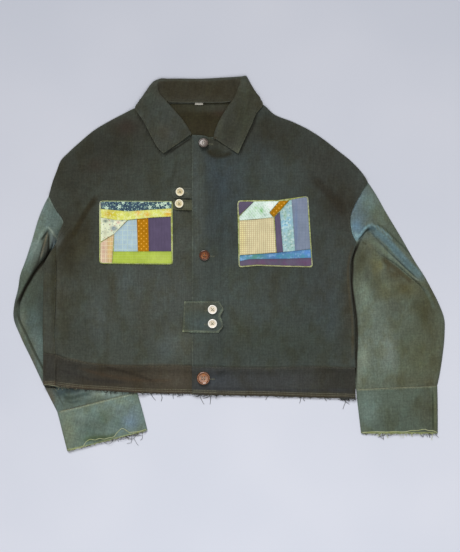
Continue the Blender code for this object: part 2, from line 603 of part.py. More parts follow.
def build_trim(under):
    """Tabs, the tape at the neck, and the buttons."""
    for name, lines in TAB_UPPER.items():
        under[name] = flat_sheet(name, lines, [under["front_left"]], CANVAS, "worn_canvas_brown")
    fronts = [under["front_left"], under["front_right"]]
    under["tab_lower"] = flat_sheet("tab_lower", TAB_LOWER, fronts, CANVAS, "worn_canvas_brown", rows=2)
    flat_sheet("neck_tape", NECK_TAPE, [under["back"]], 0.8, "pale_button")
    for kind, buttons in (("brown", BUTTONS_BROWN), ("pale", BUTTONS_PALE)):
        for number, (x, y, diameter, lies_on) in enumerate(buttons, 1):
            reach = [(x + diameter * 0.4 * c, y + diameter * 0.4 * s)
                     for c, s in ((0, 0), (1, 0), (0, 1), (-1, 0), (0, -1))]
            floor = max(height_under([under[lies_on]], px, py, 0.0) for px, py in reach)
            button(f"button_{kind}_{number}", x, y, diameter, floor + SEAM_GAP, kind + "_button")


def build():
    clear_scene()
    arms = build_arms()
    on_back, on_band, wrap_shares = build_backs(arms)
    under = build_fronts(on_back, on_band, wrap_shares)
    under["back"] = on_back
    build_pockets(under)
    build_trim(under)
    rolled("collar", collar_grid([under["front_left"], under["front_right"]]), COLLAR_CLOTH,
           "collar_canvas")


build()
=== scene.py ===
"""The looks of a boxy patchwork work jacket of hand-dyed canvas, laid flat on its back and buttoned up.

The tables and the grids of points are in millimetres, as in the part's source: +X runs to the right across
the jacket, +Y up to the collar and +Z off the surface that it lies on, which is z = 0.
"""
import math

import bmesh
import bpy
import numpy as np
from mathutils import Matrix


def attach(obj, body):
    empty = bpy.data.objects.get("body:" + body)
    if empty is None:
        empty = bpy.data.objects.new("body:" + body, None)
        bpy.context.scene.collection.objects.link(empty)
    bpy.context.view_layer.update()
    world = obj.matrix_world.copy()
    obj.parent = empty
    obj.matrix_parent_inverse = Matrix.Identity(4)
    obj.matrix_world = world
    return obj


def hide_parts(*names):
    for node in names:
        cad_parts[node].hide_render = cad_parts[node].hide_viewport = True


MM = 0.001                     # millimetres to Blender's metres
CANVAS = 1.2                   # thickness of the body and sleeve canvas
COLLAR_CLOTH = 2.0             # two layers of canvas
CUFF_CLOTH = 1.5
POCKET_CLOTH = 0.9
PATCH_CLOTH = 0.7
TAPE_CLOTH = 0.5
AIR = 0.25                     # space that cloth keeps from what it lies on
SLEEVE_AIR = 0.8               # air between the two layers of a flattened sleeve
LAP = 5.0                      # how far a piece runs on under its neighbour at a seam
CELL = 3.6                     # side of a cell of the body's grids
SMALL_CELL = 2.2               # side of a cell on pockets, patches and tabs
BACK_CELL = 5.5                # side of a cell of the back, which is nearly all hidden
WELD = 0.01                    # points closer than this are one point
PRESSED_REACH = 9.0            # how far cloth takes to rise again from a pressed seam
WRAP_STEPS = 8                 # points across the strip of back that shows on the front
TURN_STEPS = 5                 # points round the fold where that strip turns under
COLLAR_STEPS = 30              # steps across the collar, from its neck seam to its free edge
BUTTON_HEIGHT = 3.2
BUTTON_BEVEL = 1.2             # rounding of a button's rim
BUTTON_DISH = 1.1              # depth of its dished middle
BUTTON_BOSS = 0.25             # how far the floor of the dish rises again round the holes
STITCH_LIFT = 0.12             # height of a stitch's middle over the cloth
STITCH_HALF = 0.36             # half its width
LONG_THREAD = 0.42             # radius of a loose thread hung out
FLOOR_HALF = 4000              # half the floor's side
WINDOW_ENERGY = 2.2
WINDOW_ANGLE = 26              # width of the light's source in degrees: wide makes soft shadows
WINDOW_TURN = (-46, 0, 16)     # degrees from straight down
ROOM_COLOUR = (0.93, 0.95, 1.0, 1.0)
ROOM_STRENGTH = 0.26
LENS = 85.0                    # focal length of the camera
FRAME_HEIGHT = 1.104           # metres of floor from the top of the picture to its foot
ALL_ROUND = ("left", "right", "top", "bottom")

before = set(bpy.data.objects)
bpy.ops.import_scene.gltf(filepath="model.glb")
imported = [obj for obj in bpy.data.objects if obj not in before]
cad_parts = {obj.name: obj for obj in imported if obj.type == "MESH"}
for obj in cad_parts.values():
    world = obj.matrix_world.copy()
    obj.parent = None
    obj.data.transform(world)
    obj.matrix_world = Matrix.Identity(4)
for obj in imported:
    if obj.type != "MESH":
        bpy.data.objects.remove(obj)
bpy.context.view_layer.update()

# ------------------------------------------------------------------ outlines of the body, x and y

SHOULDER_LEFT = [(-360, 135), (-353, 163), (-344, 187), (-337, 205), (-320, 223), (-298, 243), (-269, 267),
                 (-239, 285), (-208, 301), (-187, 311), (-166, 319), (-144, 326)]
NECK_BACK = [(-144, 326), (-98, 322), (-52, 322), (-6, 323), (36, 331)]
SHOULDER_RIGHT = [(36, 331), (52, 325), (70, 316), (88, 300), (128, 283), (155, 270), (184, 252), (219, 225),
                  (246, 203), (273, 171), (277, 163)]
ARMHOLE_LEFT = [(-345, 34), (-340, 59), (-331, 82), (-347, 109), (-360, 135)]
ARMHOLE_RIGHT = [(253, 43), (246, 60), (243, 77), (242.5, 94), (248, 110), (261, 136), (277, 163)]
SIDE_SEAM_LEFT = [(-346, -181), (-349, -143), (-346, -73), (-345, -23), (-345, 3), (-345, 34)]
SIDE_FOLD_LEFT = [(-370, -178), (-371, -133), (-370, -73), (-369, -23), (-367, -1), (-358, 16), (-347, 34)]
SIDE_RIGHT = [(251, -208), (251, -157), (250, -113), (246, -76), (242, -27), (243, 5), (253, 43)]
NECK_LEFT = [(-144, 326), (-139, 315), (-130, 301), (-116, 285), (-98, 267), (-74, 254), (-26, 253)]
NECK_RIGHT = [(-74, 257), (-48, 255), (-28, 248), (-14, 259), (6, 283), (22, 303), (32, 319), (36, 331)]
BAND_SEAM_LEFT = [(-346, -181), (-329, -188), (-292, -197), (-264, -201), (-194, -204), (-82, -204),
                  (-26, -204)]
BAND_SEAM_RIGHT = [(-74, -205), (2, -207), (76, -208), (166, -206), (251, -208)]
BAND_SEAM_BACK = [(-370, -178), (-346, -181), (-292, -197), (-194, -204), (0, -207), (251, -208)]
HEM_LEFT = [(-346, -245), (-307, -250), (-235, -255), (-174, -259), (-72, -261), (-26, -262)]
HEM_BACK = [(-370, -243), (-235, -254), (-72, -260), (76, -264), (253, -269)]
HEM_RIGHT = [(-74, -262), (2, -264), (76, -265), (162, -268), (253, -270)]
ARMPIT = 38                    # above this height the back lies beside the sleeves and not on them

# Creases and soft folds of a piece: its line, the width of its left and right slopes, and its height.
FOLDS_LEFT = [
    ([(-352, -20), (-326, 30), (-296, 84), (-262, 128)], 26, 20, 2.6),
    ([(-340, 20), (-306, 40), (-262, 62)], 16, 12, 1.4),
    ([(-346, 6), (-322, -30), (-312, -80)], 14, 18, 1.3),
    ([(-330, 78), (-300, 120), (-282, 168)], 18, 24, 1.5),
    ([(-300, -20), (-306, -110), (-300, -190)], 22, 26, 0.9),
    ([(-210, -20), (-204, -110), (-214, -196)], 26, 30, 0.8),
    ([(-128, -14), (-134, -100), (-126, -200)], 24, 26, 0.7),
    ([(-150, 150), (-176, 200), (-196, 262)], 26, 22, 1.0),
    ([(-96, 60), (-92, 130), (-104, 200)], 14, 16, 0.9),
    ([(-110, -70), (-160, -84), (-230, -76)], 20, 16, 0.5),
]
FOLDS_RIGHT = [
    ([(150, 198), (190, 168), (238, 108)], 26, 20, 2.4),
    ([(250, 52), (222, 82), (196, 128)], 16, 18, 1.4),
    ([(243, 36), (240, -30), (249, -110), (246, -200)], 9, 12, 2.2),
    ([(238, 20), (214, -30), (206, -90)], 18, 16, 1.2),
    ([(100, -20), (108, -110), (100, -196)], 28, 26, 0.8),
    ([(20, -30), (12, -110), (18, -190)], 22, 26, 0.7),
    ([(60, 150), (84, 200), (98, 264)], 24, 24, 1.0),
    ([(-46, 236), (-30, 215), (-6, 214), (6, 232)], 9, 12, 2.2),
    ([(-24, 190), (-20, 60), (-26, -180)], 10, 12, 0.5),
    ([(160, -60), (190, -120), (180, -200)], 24, 20, 0.8),
]

# ------------------------------------------------------------------ sleeves
# One row is a ring round the arm, from the armhole to the cuff: the outer edge, half way to the main fold,
# the fold's edge, the inner edge, how high the fold stands over the cloth it laps on to, and the puff.

SLEEVE_LEFT = [
    ((-360.0, 135), (-331.0, 82), (-345.5, 44), (-348.5, 33.5), 0.0, 0.4),
    ((-367, 122), (-344, 78), (-350, 42), (-350, 31), 0.8, 2.6),
    ((-378, 97), (-359, 66), (-356, 31), (-350, 25), 3.0, 3.4),
    ((-394, 45), (-382, 31), (-370, 11), (-352, 10), 5.6, 3.0),
    ((-408, 2), (-398, -4), (-387, -11), (-316, 0), 6.4, 2.2),
    ((-417, -22), (-408, -26), (-398, -31), (-292, -12), 6.0, 2.0),
    ((-422, -52), (-416, -52), (-410, -52), (-272, -38), 5.0, 2.0),
    ((-429, -81), (-424, -80), (-419, -80), (-256, -70), 3.6, 2.0),
    ((-431, -105), (-425, -105), (-419, -106), (-242, -101), 2.4, 2.0),
    ((-417, -145), (-409, -144), (-403, -143), (-230, -133), 2.2, 2.0),
    ((-395, -191), (-387, -190), (-382, -188), (-216, -171), 2.2, 1.8),
    ((-370, -244), (-362, -242), (-357, -240), (-200, -213), 1.6, 1.4),
    ((-343, -297), (-334, -295), (-330, -293), (-184, -258), 0.4, 0.6),
]
SLEEVE_RIGHT = [
    ((277.0, 163), (243.0, 96), (248.0, 58), (252.0, 43.5), 0.0, 0.4),
    ((291, 142), (262, 78), (257, 50), (252, 40), 0.2, 1.6),
    ((312, 105), (288, 68), (272, 45), (246, 34), 0.1, 2.4),
    ((345, 50), (322, 34), (300, 20), (240, 12), 0.7, 2.6),
    ((372, 3), (354, 0), (336, -3), (239, -12), 2.0, 2.8),
    ((392, -28), (380, -29), (368, -30), (239, -36), 2.6, 2.8),
    ((404, -50), (395, -50), (386, -48), (241, -60), 1.8, 2.6),
    ((420, -82), (409, -81), (399, -80), (244, -85), 0.4, 2.6),
    ((430.5, -112), (420, -112), (410, -112), (245, -115), 0.1, 2.6),
    ((431, -140), (421, -140), (411, -140), (246, -140), 0.0, 2.4),
    ((426, -190), (416, -190), (406, -190), (246, -185), 0.0, 2.0),
    ((421, -222), (412, -222), (403, -222), (248, -225), 0.0, 1.4),
    ((416, -245), (407, -245), (398, -246), (254.5, -252), 0.0, 0.6),
]
CUFF_LEFT = [
    ((-342.9, -297.5), (-334, -295.5), (-325, -293.5), (-183.9, -258.5), 0.0, 0.5),
    ((-339, -312), (-330, -310), (-321, -308), (-180, -273), 0.0, 1.6),
    ((-333, -336), (-324, -334), (-315, -331), (-173.5, -296), 0.0, 1.8),
    ((-323, -375.5), (-314, -373), (-304, -370), (-164, -334), 0.0, 1.0),
]
CUFF_RIGHT = [
    ((416, -245.5), (407, -245.5), (398, -246.5), (255.5, -252.5), 0.0, 0.5),
    ((416.5, -260), (407, -260), (398, -261), (256.2, -264), 0.0, 1.6),
    ((417, -293), (408, -293), (399, -294), (259.4, -292), 0.0, 1.8),
    ((417, -340), (408, -340), (399, -340), (265, -340), 0.0, 1.0),
]
SLEEVE_FOLDS_LEFT = [
    ([(-361, 68), (-368, 52), (-374, 26), (-381, 0)], 5, 4, -3.4),
    ([(-361, 68), (-359, 44), (-362, 18), (-369, 4)], 4, 5, -4.2),
    ([(-364, 56), (-367, 34), (-371, 12)], 3.5, 3.5, 2.2),
    ([(-358, 66), (-350, 50), (-349, 36)], 5, 6, 2.4),
    ([(-372, 60), (-384, 36), (-394, 10)], 8, 9, 1.6),
    ([(-352, 68), (-366, 84), (-374, 108)], 10, 8, 1.2),
    ([(-404, -40), (-398, -90), (-372, -150)], 10, 14, 1.0),
    ([(-352, -262), (-300, -246), (-236, -236)], 9, 13, 1.6),
    ([(-340, -276), (-290, -272), (-210, -246)], 6, 7, 1.0),
]
SLEEVE_FOLDS_RIGHT = [
    ([(252, 50), (262, 60), (276, 71), (292, 68), (314, 50), (333, 29), (352, 8), (368, -9), (386, -26)],
     9, 6.5, 4.0),
    ([(296, 80), (308, 70), (322, 58), (339, 39), (355, 20), (368, 4), (388, -18)], 4, 3, -1.6),
    ([(274, 62), (290, 57), (309, 35), (329, 14), (345, -3), (360, -17), (378, -32)], 2.5, 3.5, -2.2),
    ([(250, 100), (262, 92), (268, 78)], 6, 7, 1.2),
    ([(262, 22), (300, -14), (340, -40), (392, -80)], 16, 24, 2.0),
    ([(258, -6), (272, -60), (278, -130)], 12, 16, 2.0),
    ([(330, -40), (352, -110), (350, -190)], 20, 26, 1.5),
    ([(300, -60), (306, -120), (318, -190)], 16, 18, 1.1),
    ([(400, -100), (396, -150), (404, -220)], 12, 12, 1.2),
    ([(350, -246), (384, -242), (412, -236)], 5, 4, 1.4),
    ([(262, 100), (284, 118), (292, 136)], 12, 14, 1.0),
]
CUFF_FOLDS_LEFT = [
    ([(-306, -350), (-290, -318), (-284, -290)], 9, 12, 1.3),
    ([(-276, -346), (-262, -316), (-262, -288)], 8, 9, 1.0),
    ([(-214, -330), (-222, -300), (-208, -276)], 12, 14, 1.2),
    ([(-330, -322), (-280, -300), (-230, -290)], 8, 9, 0.9),
]
CUFF_FOLDS_RIGHT = [
    ([(300, -336), (296, -296), (304, -258)], 16, 18, 1.0),
    ([(352, -338), (346, -300), (354, -256)], 14, 12, 0.9),
    ([(398, -336), (402, -296), (396, -258)], 9, 10, 1.2),
]

# ------------------------------------------------------------------ collar
# One row is a section across the collar, from the left front round the neck to the right front: the neck
# seam, the roll, the outer turn and the free edge, each as x, y and the height of the cloth's middle.

COLLAR = [
    ((-77, 255, 4.6), (-75, 259, 6.6), (-104, 238, 7.4), (-131, 220, 4.4)),
    ((-98, 268, 4.8), (-91, 284, 8.0), (-118, 258, 8.6), (-143, 232, 4.4)),
    ((-116, 286, 5.6), (-107, 303, 8.8), (-133, 279, 9.6), (-156, 255, 4.6)),
    ((-130, 302, 6.7), (-124, 322, 9.6), (-150, 304, 10.4), (-171, 284, 6.4)),
    ((-139, 315, 6.9), (-139, 339, 9.8), (-163, 327, 10.4), (-187, 309, 7.0)),
    ((-142, 320, 6.2), (-141, 344, 9.8), (-181, 322, 6.0), (-187, 313, 3.0)),
    ((-144, 324, 5.6), (-142, 350, 9.6), (-173, 333, 6.5), (-181, 311.5, 1.2)),
    ((-142, 327, 4.8), (-142, 356, 9.0), (-166, 343.5, 6.0), (-170, 304, 1.1)),
    ((-132, 325, 4.0), (-138, 362, 8.6), (-151.5, 362.5, 4.6), (-144, 302, 1.1)),
    ((-125, 324, 3.7), (-128, 362.6, 8.4), (-140, 368.6, 4.6), (-134, 301.6, 1.1)),
    ((-110, 323, 3.4), (-110, 363, 8.2), (-122, 369, 4.6), (-118, 301, 1.1)),
    ((-52, 322.5, 3.4), (-52, 363, 8.2), (-52, 369, 4.6), (-52, 301, 1.1)),
    ((-8, 323.5, 3.4), (-8, 365.5, 8.2), (-8, 371.5, 4.6), (-6, 301, 1.1)),
    ((14, 326, 3.8), (13, 368, 8.4), (14, 373, 4.6), (14, 302, 1.1)),
    ((22, 327.4, 4.2), (21, 368.8, 8.5), (27, 374.0, 4.7), (26, 302.6, 1.1)),
    ((27, 328.5, 4.4), (23.5, 369, 8.6), (34, 374.4, 4.8), (33, 303, 1.1)),
    ((29, 329.1, 4.6), (23.3, 366, 8.8), (36.6, 369.6, 5.0), (38, 304, 1.1)),
    ((31, 329.5, 4.8), (23, 363, 9.0), (39.5, 364.5, 5.4), (44, 305, 1.1)),
    ((34, 330, 5.0), (21.5, 357, 9.2), (46, 353, 6.0), (53, 306, 1.1)),
    ((36, 327, 6.0), (19, 351, 9.6), (54, 341, 6.5), (61, 316.5, 1.2)),
    ((34, 323, 6.6), (14, 338, 9.8), (61, 330, 6.0), (67, 321, 3.0)),
    ((31, 318, 6.9), (10, 330, 9.8), (40, 328, 10.4), (67, 315, 7.0)),
    ((21, 303, 6.7), (-2, 313, 9.6), (28, 308, 10.4), (55, 300, 6.6)),
    ((6, 284, 5.6), (-12, 297, 8.8), (19, 287, 9.6), (46, 279.5, 4.6)),
    ((-8, 267, 4.8), (-22, 279, 8.0), (6, 266, 8.6), (34.6, 255, 4.4)),
    ((-19, 256, 4.6), (-28, 263, 7.4), (0, 248, 8.0), (26.3, 237, 4.4)),
    ((-29, 247, 4.6), (-31, 251, 5.8), (-6, 235, 5.4), (18, 219, 4.4)),
]
COLLAR_TOP = 363               # behind this line the collar's stand is the upper layer
UNDER_LEAF = 3.0               # lower than this the collar lies under the back
LEAF_LAP = 2.4                 # the leaf rises this much over the roll before it falls
COLLAR_FOLDS = [
    ([(-160, 300), (-136, 268), (-118, 244)], 12, 10, 0.9),
    ([(40, 300), (20, 272), (6, 244)], 10, 12, 0.9),
    ([(-120, 350), (-60, 344), (0, 350)], 7, 9, 0.6),
]

# ------------------------------------------------------------------ pockets, patches and tabs
# Every piece lies between a lower and an upper line, both from left to right.

POCKETS = {
    "left": ([(-259, 5), (-257, 1), (-252, -0.5), (-118, -2), (-114, -1), (-112, 3)],
             [(-259, 120), (-258, 124), (-253, 125.5), (-116, 124.5), (-114, 123), (-113, 119)]),
    "right": ([(19.5, -2.5), (20.5, -6), (24, -7.5), (56, -4.5), (117, -6.5), (163, -7.5), (166, -6.5),
               (167, -3)],
              [(17, 119), (18, 124), (22, 126), (98, 126.5), (152, 134.5), (157, 133.5), (158.5, 129)]),
}
PATCHES = {
    "left": {
        "navy_floral": ([(-256, 109), (-203, 104), (-161, 107), (-115, 110)],
                        [(-256, 122), (-253, 124.2), (-117, 123.4), (-114.5, 120.5)]),
        "yellow_floral": ([(-256, 92), (-227, 87), (-203, 87), (-143, 93), (-115, 94)],
                          [(-256, 109), (-203, 104), (-161, 107), (-115, 110)]),
        "white_floral": ([(-256, 44), (-229, 59.5), (-204, 86)],
                         [(-256, 91.5), (-227, 86.5), (-204.5, 86.5)]),
        "blue_check": ([(-230, 24), (-182, 24)], [(-229, 59), (-202, 86), (-184, 88)]),
        "orange_dots": ([(-182, 24), (-160, 24)], [(-184, 88), (-161, 90.5)]),
        "plum": ([(-160, 24), (-115.5, 24)], [(-161, 90.5), (-116.5, 93)]),
        "lime": ([(-233, 1), (-117, 0), (-114, 3)], [(-231, 24), (-117, 24), (-114.5, 24)]),
        "pink_stripe": ([(-257, 4), (-254, 1.5), (-234, 1)], [(-256.5, 40), (-254, 43), (-230, 58)]),
    },
    "right": {
        "purple_corner": ([(20, 96), (49, 122.5)], [(19, 120), (22, 123.5), (49, 123.5)]),
        "leaf_print": ([(87.5, 92), (80, 101.5), (100, 124.5)], [(21, 86), (21, 94), (50, 123.5)]),
        "orange_dots": ([(81, 101), (89.5, 93)], [(101, 124.5), (119, 125.5)]),
        "beige_check": ([(21.5, 17), (94, 22)], [(20.5, 85.5), (55, 88), (89, 92)]),
        "purple_strip": ([(95, 22), (108, 23)], [(91, 92.5), (101, 103)]),
        "aqua_floral": ([(108, 23), (132, 25.5)], [(101.5, 103), (121, 126), (125, 127)]),
        "lavender": ([(132, 25.5), (162.5, 29.5)],
                     [(125, 127.5), (151, 132.5), (156, 130.5)]),
        "blue_batik": ([(21.5, 4.5), (40, 8.5), (117, 9.5), (164, 11.5)],
                       [(21.5, 16), (94, 21), (163, 28.5)]),
        "purple_foot": ([(21.5, -3.5), (24, -5), (56, -2), (117, -4.2), (161, -5.2), (165, -3)],
                        [(21.5, 4.5), (40, 8.5), (117, 9.5), (164, 11.5)]),
    },
}
TABS_UPPER = {
    "tab_upper_1": ([(-114, 137), (-112, 132), (-107, 130.5), (-66, 130)],
                    [(-114, 143), (-112, 148), (-106, 151.5), (-66, 151)]),
    "tab_upper_2": ([(-113, 113), (-111, 109), (-105, 107), (-66, 106)],
                    [(-114, 121), (-112, 125), (-107, 127.5), (-66, 127)]),
}
TAB_LOWER = {
    "bottom": [(-93, -137), (-56, -138), (-21, -138)],
    "top": [(-89, -76), (-56, -75), (-20, -75)],
    "left": [(-93, -137), (-89, -76)],
    "right": [(-21, -138), (-16, -131), (-11.3, -124.6), (-10.6, -123), (-11.3, -121.4), (-14, -114.5),
              (-17, -107.3), (-17.5, -106), (-16.9, -104.7), (-13.6, -98.6), (-10.8, -93.6), (-10.4, -92.3),
              (-11, -90.9), (-15.4, -83), (-20, -75)],
}
NECK_TAPE = (-68, -52, 317.5, 324.5)   # left, right, fold and top of the loop of tape
BUTTONS_BROWN = [(-51, 240, 19.4), (-49, 16, 21.0), (-51, -229, 26.0)]       # x, y, diameter
TOP_BUTTON_TILT = (18, 2)      # degrees to the north and east: the collar lifts the top button
BUTTONS_PALE = [(-98, 143, 16.8), (-99.5, 119.5, 17.2), (-33, -92, 18.2), (-33, -120, 18.2)]
